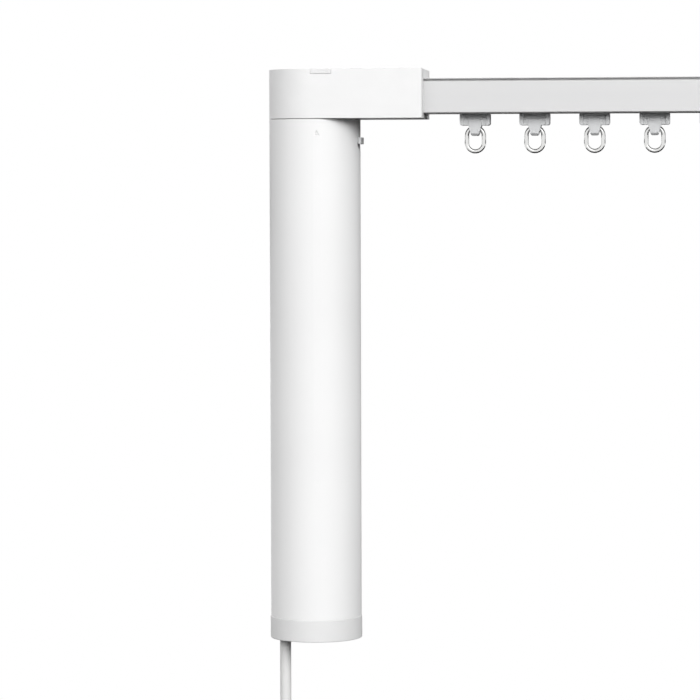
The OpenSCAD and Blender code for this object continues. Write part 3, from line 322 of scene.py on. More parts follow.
# Real grains finer than about 0.3 mm are drawn at that width, because they are too fine to show.
FINISHES = {
    # ABS from a spark-eroded mould: white, with an even satin sheen.
    "head_shell": Finish(
        "white_abs", base="#f0f0f0", cloud="#ededed", roughness=0.45, spread=0.05,
        grain=Grain.MOULDED, grain_mm=0.35, depth_mm=0.004,
    ),
    # Powder coat on aluminium: white, with a faint orange peel and soft highlights.
    "tube_shell": Finish(
        "white_powder_coat", base="#f1f1f1", cloud="#eeeeee", roughness=0.4, spread=0.04,
        grain=Grain.COATED, grain_mm=1.1, depth_mm=0.006,
    ),
    # ABS from the same kind of mould: light grey and satin.
    "cap_shell": Finish(
        "pale_grey_abs", base="#e4e4e4", cloud="#e0e0e0", roughness=0.45, spread=0.05,
        grain=Grain.MOULDED, grain_mm=0.35, depth_mm=0.004,
    ),
    # Anodised aluminium: a pale oxide skin that veils the metal, so matt silver with the die's
    # fine lines along the rail.
    "rail_metal": Finish(
        "anodised_aluminium", base="#d4d4d4", cloud="#d0d0d1", roughness=0.4, spread=0.06,
        grain=Grain.EXTRUDED, grain_mm=0.3, depth_mm=0.003, metallic=0.35,
    ),
    # Moulded nylon: light grey and a little waxy.
    "carrier_nylon": Finish(
        "grey_nylon", base="#d3d4d5", cloud="#cdcecf", roughness=0.5, spread=0.06,
        grain=Grain.MOULDED, grain_mm=0.4, depth_mm=0.008, ior=1.53,
    ),
    # Acetal: off-white, smooth and slippery.
    "wheel_plastic": Finish(
        "white_acetal", base="#e9e9e4", cloud="#e4e4de", roughness=0.32, spread=0.04,
        grain=Grain.MOULDED, grain_mm=0.4, depth_mm=0.003, ior=1.48,
    ),
    # Nickel plate on steel wire: a bright mirror with slight draw marks.
    "ring_wire": Finish(
        "bright_nickel", base="#e6e6e5", cloud="#dfdfde", roughness=0.09, spread=0.03,
        grain=Grain.MOULDED, grain_mm=0.6, depth_mm=0.002, metallic=1.0,
    ),
    # Zinc plate on pressed steel: soft bluish silver with rolling marks.
    "clip_steel": Finish(
        "zinc_plate", base="#c3c5c8", cloud="#b6b8bc", roughness=0.36, spread=0.08,
        grain=Grain.ROLLED, grain_mm=0.5, depth_mm=0.004, metallic=1.0,
    ),
    # ABS from a polished mould: white, smoother than the housings.
    "lever_plastic": Finish(
        "smooth_white_abs", base="#ededec", cloud="#e9e9e8", roughness=0.36, spread=0.05,
        grain=Grain.MOULDED, grain_mm=0.35, depth_mm=0.003,
    ),
    # Polyurethane: near black and matt.
    "belt_rubber": Finish(
        "black_polyurethane", base="#2b2b2d", cloud="#323235", roughness=0.62, spread=0.08,
        grain=Grain.MOULDED, grain_mm=0.5, depth_mm=0.02,
    ),
    # Turned steel: bare grey metal, with tool marks round it.
    "steel_parts": Finish(
        "turned_steel", base="#a9abae", cloud="#9d9fa3", roughness=0.3, spread=0.08,
        grain=Grain.TURNED, grain_mm=0.4, depth_mm=0.004, metallic=1.0,
    ),
    # Nylon with glass fibre: dark grey with a dull, fibrous surface.
    "pulley_plastic": Finish(
        "glass_filled_nylon", base="#66686b", cloud="#5c5e61", roughness=0.56, spread=0.08,
        grain=Grain.MOULDED, grain_mm=0.45, depth_mm=0.012,
    ),
    # Nitrile rubber: dark and dull.
    "damper_rubber": Finish(
        "nitrile_rubber", base="#343434", cloud="#2d2d2d", roughness=0.72, spread=0.08,
        grain=Grain.MOULDED, grain_mm=0.6, depth_mm=0.02,
    ),
    # Glass-epoxy board under solder mask: green with a lacquer gloss.
    "board_resin": Finish(
        "solder_mask", base="#1e6b42", cloud="#185a37", roughness=0.3, spread=0.06,
        grain=Grain.MOULDED, grain_mm=0.5, depth_mm=0.004,
    ),
    # PVC jacket: pale, soft and satin.
    "cord_pvc": Finish(
        "pale_pvc", base="#e2e2e1", cloud="#dddddc", roughness=0.44, spread=0.05,
        grain=Grain.MOULDED, grain_mm=0.5, depth_mm=0.006, ior=1.53,
    ),
    # Silicone strap: pale grey and matt.
    "tie_rubber": Finish(
        "grey_silicone", base="#cfcfcf", cloud="#c8c8c8", roughness=0.62, spread=0.06,
        grain=Grain.MOULDED, grain_mm=0.5, depth_mm=0.01, ior=1.41,
    ),
    # PVC moulded on the cord: pale and satin, a little rougher than the jacket.
    "plug_plastic": Finish(
        "moulded_pvc", base="#e9e9e8", cloud="#e4e4e3", roughness=0.46, spread=0.05,
        grain=Grain.MOULDED, grain_mm=0.45, depth_mm=0.008, ior=1.53,
    ),
    # Satin nickel plate on brass: soft silver, faintly warm.
    "pin_metal": Finish(
        "nickel_on_brass", base="#d6d2c8", cloud="#cdc8bc", roughness=0.3, spread=0.05,
        grain=Grain.TURNED, grain_mm=0.4, depth_mm=0.002, metallic=0.5,
    ),
}


def new_object(name: str, data: bpy.types.ID) -> bpy.types.Object:
    """Make an object for some data and link it to the scene.

    Args:
        name: Name of the object.
        data: Its mesh, curve, camera or light.

    Returns:
        The new object.
    """
    made = bpy.data.objects.new(name, data)
    bpy.context.scene.collection.objects.link(made)
    return made


def mesh_object(name: str, form: bmesh.types.BMesh) -> bpy.types.Object:
    """Make a mesh object from a finished form.

    Args:
        name: Name of the object and its mesh.
        form: The form, which is freed.

    Returns:
        The new object.
    """
    mesh = bpy.data.meshes.new(name)
    form.to_mesh(mesh)
    form.free()
    return new_object(name, mesh)


def points_object(name: str, places: Iterable[Sequence[float]], looped: bool = False) -> bpy.types.Object:
    """Make a seed object of bare points, or of points joined into a closed loop of edges.

    Args:
        name: Name of the object and its mesh.
        places: The points, in metres.
        looped: Whether edges join them into a loop.

    Returns:
        The new object.
    """
    mesh = bpy.data.meshes.new(name)
    points = [tuple(p) for p in places]
    edges = [(k, (k + 1) % len(points)) for k in range(len(points))] if looped else []
    mesh.from_pydata(points, edges, [])
    return new_object(name, mesh)


def smooth(piece: bpy.types.Object, angle_deg: float) -> None:
    """Shade a piece smooth, apart from edges sharper than an angle."""
    piece.data.shade_smooth()
    piece.data.set_sharp_from_angle(angle=math.radians(angle_deg))


def circle_points(radius: float, sides: int, z: float) -> list[Vector]:
    """List the points of a level circle round the Z axis.

    Args:
        radius: Radius of the circle.
        sides: Count of points.
        z: Height of the circle.

    Returns:
        The points, anticlockwise from above.
    """
    angles = [math.tau * k / sides for k in range(sides)]
    return [Vector((radius * math.cos(a), radius * math.sin(a), z)) for a in angles]


def skin(form: bmesh.types.BMesh, loops: Sequence[Sequence[Vector]]) -> None:
    """Join loops of points into a closed skin, with the first and the last loop filled.

    Args:
        form: The form that gets the faces.
        loops: Loops with equal counts of points, in order.
    """
    rows = [[form.verts.new(p) for p in loop] for loop in loops]
    count = len(rows[0])
    for low, high in zip(rows, rows[1:]):
        for k in range(count):
            form.faces.new((low[k], low[(k + 1) % count], high[(k + 1) % count], high[k]))
    form.faces.new(rows[0])
    form.faces.new(rows[-1])
    bmesh.ops.recalc_face_normals(form, faces=form.faces)


class NodeTool:
    """A Geometry Nodes tree with named inputs, run on a seed object and turned into a plain mesh."""

    def __init__(self, name: str, **kinds: str) -> None:
        """Start a tree with a geometry input and output, and a material input besides the named ones.

        Args:
            name: Name of the tree.
            kinds: Kind of each further input, such as Float, by the input's name.
        """
        self.tree = bpy.data.node_groups.new(name, "GeometryNodeTree")
        face = self.tree.interface
        face.new_socket("Geometry", in_out="INPUT", socket_type="NodeSocketGeometry")
        face.new_socket("Geometry", in_out="OUTPUT", socket_type="NodeSocketGeometry")
        self.keys = {
            key: face.new_socket(key, in_out="INPUT", socket_type=f"NodeSocket{kind}").identifier
            for key, kind in (kinds | {"Material": "Material"}).items()
        }
        self.given = add_node(self.tree, "NodeGroupInput").outputs

    def end(self, geometry: bpy.types.NodeSocket) -> None:
        """Close the tree with Realize Instances, smooth shading and Set Material.

        Args:
            geometry: The socket that holds the result.
        """
        real = add_node(self.tree, "GeometryNodeRealizeInstances", {"Geometry": geometry})
        soft = add_node(self.tree, "GeometryNodeSetShadeSmooth", {"Geometry": real.outputs["Geometry"]})
        dressed = add_node(self.tree, "GeometryNodeSetMaterial", {
            "Geometry": soft.outputs["Geometry"], "Material": self.given["Material"],
        })
        add_node(self.tree, "NodeGroupOutput", {"Geometry": dressed.outputs["Geometry"]})

    def run(self, name: str, seed: bpy.types.Object, **values) -> bpy.types.Object:
        """Run the tree and keep its result as a plain mesh.

        Args:
            name: Name of the new object.
            seed: Object that carries the modifier, which is removed afterwards.
            values: Values of the named inputs.

        Returns:
            The new object.
        """
        step = seed.modifiers.new(self.tree.name, "NODES")
        step.node_group = self.tree
        for key, value in values.items():
            step[self.keys[key]] = value
        bpy.context.view_layer.update()
        graph = bpy.context.evaluated_depsgraph_get()
        mesh = bpy.data.meshes.new_from_object(seed.evaluated_get(graph))
        mesh.name = name
        seed.modifiers.remove(step)
        bpy.data.objects.remove(seed)
        return new_object(name, mesh)


def wire_tool() -> NodeTool:
    """Make the tree that draws a round wire along the edges of its seed.

    Returns:
        The tool, with inputs Radius, Sides and Material.
    """
    tool = NodeTool("wire_along_path", Radius="Float", Sides="Int")
    path = add_node(tool.tree, "GeometryNodeMeshToCurve", {"Mesh": tool.given["Geometry"]})
    section = add_node(tool.tree, "GeometryNodeCurvePrimitiveCircle", {
        "Resolution": tool.given["Sides"], "Radius": tool.given["Radius"],
    })
    wire = add_node(tool.tree, "GeometryNodeCurveToMesh", {
        "Curve": path.outputs["Curve"], "Profile Curve": section.outputs["Curve"],
    })
    tool.end(wire.outputs["Mesh"])
    return tool


def scatter_tool() -> NodeTool:
    """Make the tree that sets a copy of one piece on each point of its seed.

    Returns:
        The tool, with inputs Piece and Material.
    """
    tool = NodeTool("piece_on_points", Piece="Object")
    piece = add_node(tool.tree, "GeometryNodeObjectInfo", {"Object": tool.given["Piece"]})
    placed = add_node(tool.tree, "GeometryNodeInstanceOnPoints", {
        "Points": tool.given["Geometry"], "Instance": piece.outputs["Geometry"],
    })
    tool.end(placed.outputs["Instances"])
    return tool


def rib_tool() -> NodeTool:
    """Make the tree that stacks round ribs of growing width under each point of its seed.

    Returns:
        The tool, with inputs Count, Step, First, Last, Thickness, Round, Across and Material.
    """
    tool = NodeTool(
        "strain_relief_ribs", Count="Int", Step="Float", First="Float", Last="Float", Thickness="Float",
        Round="Int", Across="Int",
    )
    tree, given = tool.tree, tool.given
    fall = add_node(tree, "ShaderNodeMath", {0: given["Step"], 1: -1.0}, operation="MULTIPLY")
    drop = add_node(tree, "ShaderNodeCombineXYZ", {"Z": fall.outputs[0]})
    line = add_node(tree, "GeometryNodeMeshLine", {"Count": given["Count"], "Offset": drop.outputs[0]})
    ring = add_node(tree, "GeometryNodeCurvePrimitiveCircle", {
        "Resolution": given["Round"], "Radius": given["First"],
    })
    section = add_node(tree, "GeometryNodeCurvePrimitiveCircle", {
        "Resolution": given["Across"], "Radius": given["Thickness"],
    })
    rib = add_node(tree, "GeometryNodeCurveToMesh", {
        "Curve": ring.outputs["Curve"], "Profile Curve": section.outputs["Curve"],
    })
    widest = add_node(tree, "ShaderNodeMath", {0: given["Last"], 1: given["First"]}, operation="DIVIDE")
    share = add_node(tree, "ShaderNodeMapRange", {
        "Value": add_node(tree, "GeometryNodeInputIndex").outputs[0], "From Max": given["Count"],
        "To Min": 1.0, "To Max": widest.outputs[0],
    }).outputs[0]
    wide = add_node(tree, "ShaderNodeCombineXYZ", {"X": share, "Y": share, "Z": 1.0})
    stack = add_node(tree, "GeometryNodeInstanceOnPoints", {
        "Points": line.outputs["Mesh"], "Instance": rib.outputs["Mesh"], "Scale": wide.outputs[0],
    })
    placed = add_node(tree, "GeometryNodeInstanceOnPoints", {
        "Points": given["Geometry"], "Instance": stack.outputs["Instances"],
    })
    tool.end(placed.outputs["Instances"])
    return tool


@dataclass
class Frame:
    """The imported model, with the slot and the body of each node.

    Args:
        nodes: The CAD objects by node name.
        record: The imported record.
        soft_steps: Faces across a softened edge.
        sharp_deg: Edges sharper than this are softened.
        shade_deg: Edges sharper than this stay crisp in the shading.
    """

    nodes: dict[str, bpy.types.Object]
    record: dict
    soft_steps: int = 2
    sharp_deg: float = 28.0
    shade_deg: float = 35.0
    slots: dict[str, str] = field(init=False)
    bodies: dict[str, str] = field(init=False)

    def __post_init__(self) -> None:
        """Look up each node's slot and body."""
        self.slots = {row["node"]: row["material_slot"] for row in self.record["subparts"]}
        groups = self.record["behaviour"]["bodies"]
        self.bodies = {node: body for body, members in groups.items() for node in members}

    def finish(self, node: str) -> bpy.types.Material:
        """Return the material of a node's slot."""
        return FINISHES[self.slots[node]].material()

    def paint(self, *nodes: str) -> None:
        """Give CAD nodes that stay their material.

        Args:
            nodes: The nodes.
        """
        for node in nodes:
            data = self.nodes[node].data
            data.materials.clear()
            data.materials.append(self.finish(node))
            LOG.info("%s stays, in %s", node, data.materials[0].name)

    def stand_in(self, piece: bpy.types.Object, *nodes: str) -> bpy.types.Object:
        """Put a piece in the place of CAD nodes of one body.

        Args:
            piece: The new piece.
            nodes: The nodes that it stands for.

        Returns:
            The piece.
        """
        if piece.type == "MESH" and not piece.data.materials:
            piece.data.materials.append(self.finish(nodes[0]))
        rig.ride(piece, self.bodies[nodes[0]])
        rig.slot(piece, self.slots[nodes[0]])
        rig.replaces(piece, *nodes)
        LOG.info("%s stands for %s", piece.name, ", ".join(nodes))
        return piece

    def welded(self, node: str) -> bmesh.types.BMesh:
        """Copy a CAD node's form, with its loose triangles joined.

        Args:
            node: The CAD node.

        Returns:
            The form.
        """
        form = bmesh.new()
        form.from_mesh(self.nodes[node].data)
        bmesh.ops.remove_doubles(form, verts=form.verts, dist=WELD)
        return form

    def soften(self, node: str, width_mm: float) -> bpy.types.Object:
        """Stand a copy with softened edges in for a CAD node.

        Args:
            node: The CAD node.
            width_mm: Width of the softened edges.

        Returns:
            The softened piece.
        """
        form = self.welded(node)
        limit = math.radians(self.sharp_deg)
        edges = [e for e in form.edges if len(e.link_faces) == 2 and e.calc_face_angle(0.0) > limit]
        bmesh.ops.bevel(
            form, geom=edges, offset=width_mm * MM, offset_type="OFFSET", segments=self.soft_steps,
            profile=0.5, affect="EDGES", clamp_overlap=False,
        )
        piece = mesh_object(f"{node}_soft", form)
        smooth(piece, self.shade_deg)
        shade = piece.modifiers.new("even_shading", "WEIGHTED_NORMAL")
        shade.keep_sharp = True
        return self.stand_in(piece, node)


@dataclass
class MainsCord:
    """The cord: a straight drop from the cap, a tied coil of two layers, and a tail to the plug.

    The sizes and the drop's points repeat the route of the CAD solids.
    """

    mouth_mm: Point = (-539.3, 0.0, -314.3)
    drop_mm: tuple[float, ...] = (0, 6, 12, 18, 24, 30, 36, 42, 48, 54, 60, 66, 72, 78, 84)
    cord_mm: float = 6.2
    coil_r_mm: float = 42.0
    turns: int = 5
    turn_gap_mm: float = 0.5
    layer_gap_mm: float = 0.6
    climb_turns: float = 0.5
    tail_mm: float = 46.0
    tail_steps: int = 8
    points_a_turn: int = 72
    round_steps: int = 6
    tie_edge_mm: float = 0.3

    def coil_point(self, t: float) -> Vector:
        """Find a point of the coil from the coil's centre, in millimetres.

        Args:
            t: Count of turns from the coil's start.

        Returns:
            The point.
        """
        middle = self.turns / 2
        radius = self.coil_r_mm - (self.cord_mm + self.turn_gap_mm) * (middle - abs(t - middle))
        u = min(max((t - middle) / self.climb_turns + 0.5, 0.0), 1.0)
        depth = (self.cord_mm + self.layer_gap_mm) * u * u * (3 - 2 * u)
        angle = math.pi + math.tau * t
        return Vector((radius * math.cos(angle), depth, radius * math.sin(angle)))

    def route(self) -> list[Vector]:
        """List the points of the whole cord.

        Returns:
            The points from the cap to the plug, in metres.
        """
        mouth = Vector(self.mouth_mm)
        drop = [mouth - Vector((0, 0, fall)) for fall in self.drop_mm]
        centre = drop[-1] + Vector((self.coil_r_mm, 0, -self.cord_mm))
        steps = self.points_a_turn * self.turns
        coil = [centre + self.coil_point(k / self.points_a_turn) for k in range(steps + 1)]
        step = Vector((0, 0, self.tail_mm / self.tail_steps))
        tail = [coil[-1] - step * k for k in range(1, self.tail_steps + 1)]
        return [p * MM for p in drop + coil + tail]

    def build(self, frame: Frame) -> bpy.types.Object:
        """Make the cord as one curve in the place of its two CAD solids.

        Args:
            frame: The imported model.

        Returns:
            The cord.
        """
        points = self.route()
        curve = bpy.data.curves.new("mains_cord", "CURVE")
        curve.dimensions = "3D"
        curve.bevel_depth = self.cord_mm / 2 * MM
        curve.bevel_resolution = self.round_steps
        curve.use_fill_caps = True
        line = curve.splines.new("POLY")
        line.points.add(len(points) - 1)
        for point, place in zip(line.points, points):
            point.co = (*place, 1.0)
        line.use_smooth = True
        piece = new_object("mains_cord", curve)
        curve.materials.append(frame.finish("power_cord"))
        return frame.stand_in(piece, "power_cord", "cord_coil")

    def tie(self, frame: Frame) -> bpy.types.Object:
        """Soften the tie round the coil."""
        return frame.soften("cord_tie", self.tie_edge_mm)

    def declare(self, piece: bpy.types.Object, fittings: Sequence[bpy.types.Object]) -> None:
        """Say what the cord is, with the pieces on it.

        Args:
            piece: The cord.
            fittings: Its tie, plug and pins.
        """
        points = self.route()
        length = sum((b - a).length for a, b in zip(points, points[1:]))
        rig.cord(
            piece, exit=points[0], length=length, diameter=self.cord_mm * MM, far_end="plug",
            stiffness="medium", lay="hanging", with_pieces=list(fittings),
        )
        LOG.info("cord of %.3f m", length)


@dataclass
class MainsPlug:
    """A flat two-pin plug: a grip that swells to its face, under a ribbed strain relief.

    The grip's ends are stations, each a share of its length and of its section there.
    """

    top_mm: Point = (-539.3, 6.8, -450.5)
    relief_mm: float = 18.0
    relief_r_mm: float = 4.0
    relief_lip_mm: float = 0.5
    relief_sink_mm: float = 1.0
    relief_shares: Span = (0.78, 0.82)
    ribs: int = 6
    first_rib_mm: float = 1.6
    rib_step_mm: float = 2.7
    rib_r_mm: float = 0.9
    rib_shares: Span = (0.9, 1.22)
    rib_sides: tuple[int, int] = (40, 10)
    grip_mm: float = 34.0
    seat_mm: float = 1.0
    face_w_mm: float = 35.0
    neck_w_mm: float = 18.0
    thick_mm: float = 14.0
    waist: float = 0.16
    corners: Span = (3.0, 5.0)
    neck_end: tuple[Span, ...] = ((0.0, 0.55), (0.012, 0.75), (0.035, 0.9), (0.07, 1.0))
    face_end: tuple[Span, ...] = ((0.95, 1.0), (0.975, 0.985), (0.992, 0.955), (1.0, 0.9))
    swell: Span = (0.07, 0.93)
    swell_steps: int = 12
    sides: int = 64
    shade_deg: float = 40.0

    def section(self, share: float) -> Point:
        """Find the grip's section at a share of its length.

        Args:
            share: 0 at the neck, 1 at the face.

        Returns:
            Half width, half thickness and corner power.
        """
        swell = share * share * (3 - 2 * share)
        wide = self.neck_w_mm / 2 + (self.face_w_mm - self.neck_w_mm) / 2 * swell
        thick = self.thick_mm / 2 * (1.0 - self.waist * math.sin(math.pi * share) ** 2)
        return wide, thick, self.corners[0] + (self.corners[1] - self.corners[0]) * share

    def loop(self, share: float, shrink: float) -> list[Vector]:
        """List the points round the grip at one station.

        Args:
            share: Share of the grip's length.
            shrink: Share of the section that is left there.

        Returns:
            The points, in metres.
        """
        wide, thick, power = self.section(share)
        z = self.seat_mm - self.relief_mm - share * self.grip_mm
        points = []
        for p in circle_points(1.0, self.sides, 0.0):
            x = math.copysign(abs(p.x) ** (2 / power), p.x) * wide * shrink
            y = math.copysign(abs(p.y) ** (2 / power), p.y) * thick * shrink
            points.append((Vector(self.top_mm) + Vector((x, y, z))) * MM)
        return points

    def grip(self) -> bmesh.types.BMesh:
        """Loft the grip with rounded ends.

        Returns:
            The form.
        """
        form = bmesh.new()
        low, high = self.swell
        middle = [(low + (high - low) * k / self.swell_steps, 1.0) for k in range(1, self.swell_steps)]
        skin(form, [self.loop(*station) for station in (*self.neck_end, *middle, *self.face_end)])
        return form

    def relief(self, frame: Frame, ribs: NodeTool) -> bpy.types.Object:
        """Stack the ribs of the strain relief.

        Args:
            frame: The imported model.
            ribs: The rib tool.

        Returns:
            The ribs, as one object.
        """
        top = Vector(self.top_mm) - Vector((0, 0, self.first_rib_mm))
        first, last = (self.relief_r_mm * share * MM for share in self.rib_shares)
        return ribs.run(
            "relief_ribs", points_object("relief_seed", [top * MM]), Count=self.ribs,
            Step=self.rib_step_mm * MM, First=first, Last=last, Thickness=self.rib_r_mm * MM,
            Round=self.rib_sides[0], Across=self.rib_sides[1], Material=frame.finish("plug_body"),
        )

    def build(self, frame: Frame, ribs: NodeTool) -> bpy.types.Object:
        """Make the plug's body with its strain relief, and dress the pins.

        Args:
            frame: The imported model.
            ribs: The rib tool.

        Returns:
            The plug body.
        """
        form = self.grip()
        top = Vector(self.top_mm)
        foot = -self.relief_mm - self.relief_sink_mm
        core = zip((0.0, -self.relief_lip_mm, foot), (*self.relief_shares, 1.0))
        skin(form, [
            [(top + p) * MM for p in circle_points(self.relief_r_mm * share, self.sides, z)]
            for z, share in core
        ])
        stack = self.relief(frame, ribs)
        form.from_mesh(stack.data)
        bpy.data.objects.remove(stack)
        piece = mesh_object("plug_grip", form)
        smooth(piece, self.shade_deg)
        frame.paint("plug_pins")
        return frame.stand_in(piece, "plug_body")


@dataclass
class WireRing:
    """A curtain ring: a short bar in its hook, a bend and a leg on each side, and a half turn below."""

    node: str
    wire_mm: float = 2.4
    bar_mm: float = 1.0
    sides: int = 20
    arc_steps: int = 14

    def path(self) -> list[Vector]:
        """List the points along the middle of the wire, found from the node's box.

        Returns:
            The points, in metres.
        """
        low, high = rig.box(self.node)
        r = self.wire_mm / 2 * MM
        bar = self.bar_mm / 2 * MM
        half = (high.x - low.x) / 2 - r
        bend = half - bar
        x, top, foot = (low.x + high.x) / 2, high.z - r - bend, low.z + r + half
        turn = [math.pi / 2 * k / self.arc_steps for k in range(self.arc_steps + 1)]
        right = [Vector((bar + bend * math.cos(a), 0, top + bend * math.sin(a))) for a in turn]
        left = [Vector((-p.x, 0, p.z)) for p in reversed(right)]
        below = [math.pi + math.pi * k / (2 * self.arc_steps) for k in range(2 * self.arc_steps + 1)]
        bowl = [Vector((half * math.cos(a), 0, foot + half * math.sin(a))) for a in below]
        return [Vector((x, 0, 0)) + p for p in right + left + bowl]

    def build(self, frame: Frame, wire: NodeTool) -> bpy.types.Object:
        """Draw the wire and stand it in for its node.

        Args:
            frame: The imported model.
            wire: The wire tool.

        Returns:
            The ring.
        """
        piece = wire.run(
            f"{self.node}_wire", points_object(f"{self.node}_path", self.path(), looped=True),
            Radius=self.wire_mm / 2 * MM, Sides=self.sides, Material=frame.finish(self.node),
        )
        return frame.stand_in(piece, self.node)


@dataclass
class Carriers:
    """Six gliding carriers and the driving one, each with its wheels and its ring."""

    gliders: int = 6
    body_edge_mm: float = 0.2
    driver_parts: tuple[str, ...] = ("belt_jaw", "drive_wheels_1", "drive_wheels_2")

    def build(self, frame: Frame, wire: NodeTool) -> None:
        """Draw the rings, soften the bodies and paint the wheels and the belt jaw.

        Args:
            frame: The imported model.
            wire: The wire tool.
        """
        numbers = range(1, self.gliders + 1)
        for node in ("drive_ring", *(f"ring_{k}" for k in numbers)):
            WireRing(node).build(frame, wire)
        for node in ("drive_carrier", *(f"carrier_{k}" for k in numbers)):
            frame.soften(node, self.body_edge_mm)
        frame.paint(*self.driver_parts, *(f"wheels_{k}" for k in numbers))


@dataclass
class CoverScrews:
    """Button-head screws with hexagon sockets in the two covers.

    The crown's steps are shares of the head's radius and of its height down from the top.
    """

    head_r_mm: float = 2.8
    head_h_mm: float = 1.3
    skirt: float = 0.45
    crown: tuple[Span, ...] = ((0.96, 0.22), (0.86, 0.06), (0.72, 0.0))
    socket_r_mm: float = 1.5
    socket_mm: float = 0.9
    lead_mm: float = 0.08
    lead: float = 0.97
    sides: int = 36
    shade_deg: float = 30.0

    def hexagon(self, r: float, z: float) -> list[Vector]:
        """List points round a hexagon, as many as round the head.

        Args:
            r: Radius over its corners.
            z: Height of the hexagon.

        Returns:
            The points.
        """
        points = []
        for p in circle_points(r, self.sides, z):
            angle = math.atan2(p.y, p.x) % (math.pi / 3)
            reach = math.cos(math.pi / 6) / math.cos(angle - math.pi / 6)
            points.append(Vector((p.x * reach, p.y * reach, z)))
        return points

    def head(self) -> bpy.types.Object:
        """Make one screw head, its top at the origin.

        Returns:
            The head.
        """
        form = bmesh.new()
        r, h, inner = self.head_r_mm, self.head_h_mm, self.socket_r_mm * self.lead
        rounds = ((1.0, 1.0), (1.0, self.skirt), *self.crown)
        loops = [circle_points(r * wide, self.sides, -h * deep) for wide, deep in rounds]
        socket = ((self.socket_r_mm, 0.0), (inner, -self.lead_mm), (inner, -self.socket_mm))
        loops += [self.hexagon(*step) for step in socket]
        skin(form, [[p * MM for p in loop] for loop in loops])
        piece = mesh_object("screw_head", form)
        smooth(piece, self.shade_deg)
        return piece

    def places(self, frame: Frame) -> list[Point]:
        """Find the middle of each screw's top in the CAD node, which has one solid for each screw.

        Args:
            frame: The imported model.

        Returns:
            The places, in metres.
        """
        form = frame.welded("cover_screws")
        tops = []
        left = set(form.verts)
        while left:
            island, todo = set(), [left.pop()]
            while todo:
                vert = todo.pop()
                island.add(vert)
                near = {e.other_vert(vert) for e in vert.link_edges} & left
                left -= near
                todo += near
            xs, ys, zs = zip(*(v.co for v in island))
            tops.append(((min(xs) + max(xs)) / 2, (min(ys) + max(ys)) / 2, max(zs)))
        form.free()
        return sorted(tops)

    def build(self, frame: Frame, scatter: NodeTool) -> bpy.types.Object:
        """Set a head on each screw of the CAD node.

        Args:
            frame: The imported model.
            scatter: The tool that sets copies on points.

        Returns:
            The screws, as one piece.
        """
        head = self.head()
        seed = points_object("screw_places", self.places(frame))
        piece = scatter.run("screw_heads", seed, Piece=head, Material=frame.finish("cover_screws"))
        bpy.data.objects.remove(head)
        smooth(piece, self.shade_deg)
        return frame.stand_in(piece, "cover_screws")


@dataclass
class DriveHead:
    """The head's housing and cover over the drive pulley, with the sprung release latch below."""

    housing_edge_mm: float = 0.15
    cover_edge_mm: float = 0.15
    latch_edge_mm: float = 0.3
    latch_travel_mm: float = 3.0
    spring_shade_deg: float = 40.0
    inner: tuple[str, ...] = ("drive_pulley", "bearings", "grub_screws")

    def spring(self, frame: Frame) -> bpy.types.Object:
        """Stand a coil in for the latch's spring, which shortens as the latch is pulled.

        Args:
            frame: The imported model.

        Returns:
            The coil.
        """
        piece = mesh_object("latch_spring_coil", frame.welded("latch_spring"))
        smooth(piece, self.spring_shade_deg)
        frame.stand_in(piece, "latch_spring")
        low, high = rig.box("latch_spring")
        keep = 1.0 - self.latch_travel_mm * MM / (high[2] - low[2])
        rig.squash(piece, "latch_pull", axis=(0, 0, 1), anchor=tuple(low), keep=keep)
        return piece

    def build(self, frame: Frame) -> None:
        """Soften the shells and the latch, make the spring, and paint what sits inside.

        Args:
            frame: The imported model.
        """
        frame.soften("head_housing", self.housing_edge_mm)
        frame.soften("head_cover", self.cover_edge_mm)
        frame.soften("latch", self.latch_edge_mm)
        self.spring(frame)
        frame.paint(*self.inner)


@dataclass
class MotorUnit:
    """The coated tube with its bottom cap, cord gland and button, round the motor and its gears."""

    tube_edge_mm: float = 0.08
    cap_edge_mm: float = 0.3
    gland_edge_mm: float = 0.2
    button_edge_mm: float = 0.2
    planets: int = 3
    inner: tuple[str, ...] = (
        "gearbox_plate", "output_spindle", "ring_gear", "sun_shaft", "motor_can", "motor_damper",
        "control_board",
    )

    def build(self, frame: Frame) -> None:
        """Soften the shells and the button, and paint what sits inside.

        Args:
            frame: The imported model.
        """
        frame.soften("motor_tube", self.tube_edge_mm)
        frame.soften("end_cap", self.cap_edge_mm)
        frame.soften("cord_gland", self.gland_edge_mm)
        frame.soften("pairing_button", self.button_edge_mm)
        frame.paint(*self.inner, *(f"planet_gear_{k}" for k in range(1, self.planets + 1)))


@dataclass
class CeilingRail:
    """The extruded rail with the belt inside, and the clips with levers that hold it."""

    rail_edge_mm: float = 0.1
    clip_edge_mm: float = 0.2
    lever_edge_mm: float = 0.3
    levers: tuple[str, ...] = ("clip_lever_1", "clip_lever_2")

    def build(self, frame: Frame) -> None:
        """Soften the rail, the clips and the levers, and paint the belt.

        Args:
            frame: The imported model.
        """
        frame.soften("rail", self.rail_edge_mm)
        frame.soften("clip_bodies", self.clip_edge_mm)
        for lever in self.levers:
            frame.soften(lever, self.lever_edge_mm)
        frame.paint("drive_belt")


@dataclass
class EndUnit:
    """The rounded housing and cover at the far end, round the idler pulley."""

    housing_edge_mm: float = 0.35
    cover_edge_mm: float = 0.25
    inner: tuple[str, ...] = ("idler_pulley", "idler_axle")

    def build(self, frame: Frame) -> None:
        """Soften the shells and paint the pulley and its axle.

        Args:
            frame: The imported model.
        """
        frame.soften("end_housing", self.housing_edge_mm)
        frame.soften("end_cover", self.cover_edge_mm)
        frame.paint(*self.inner)


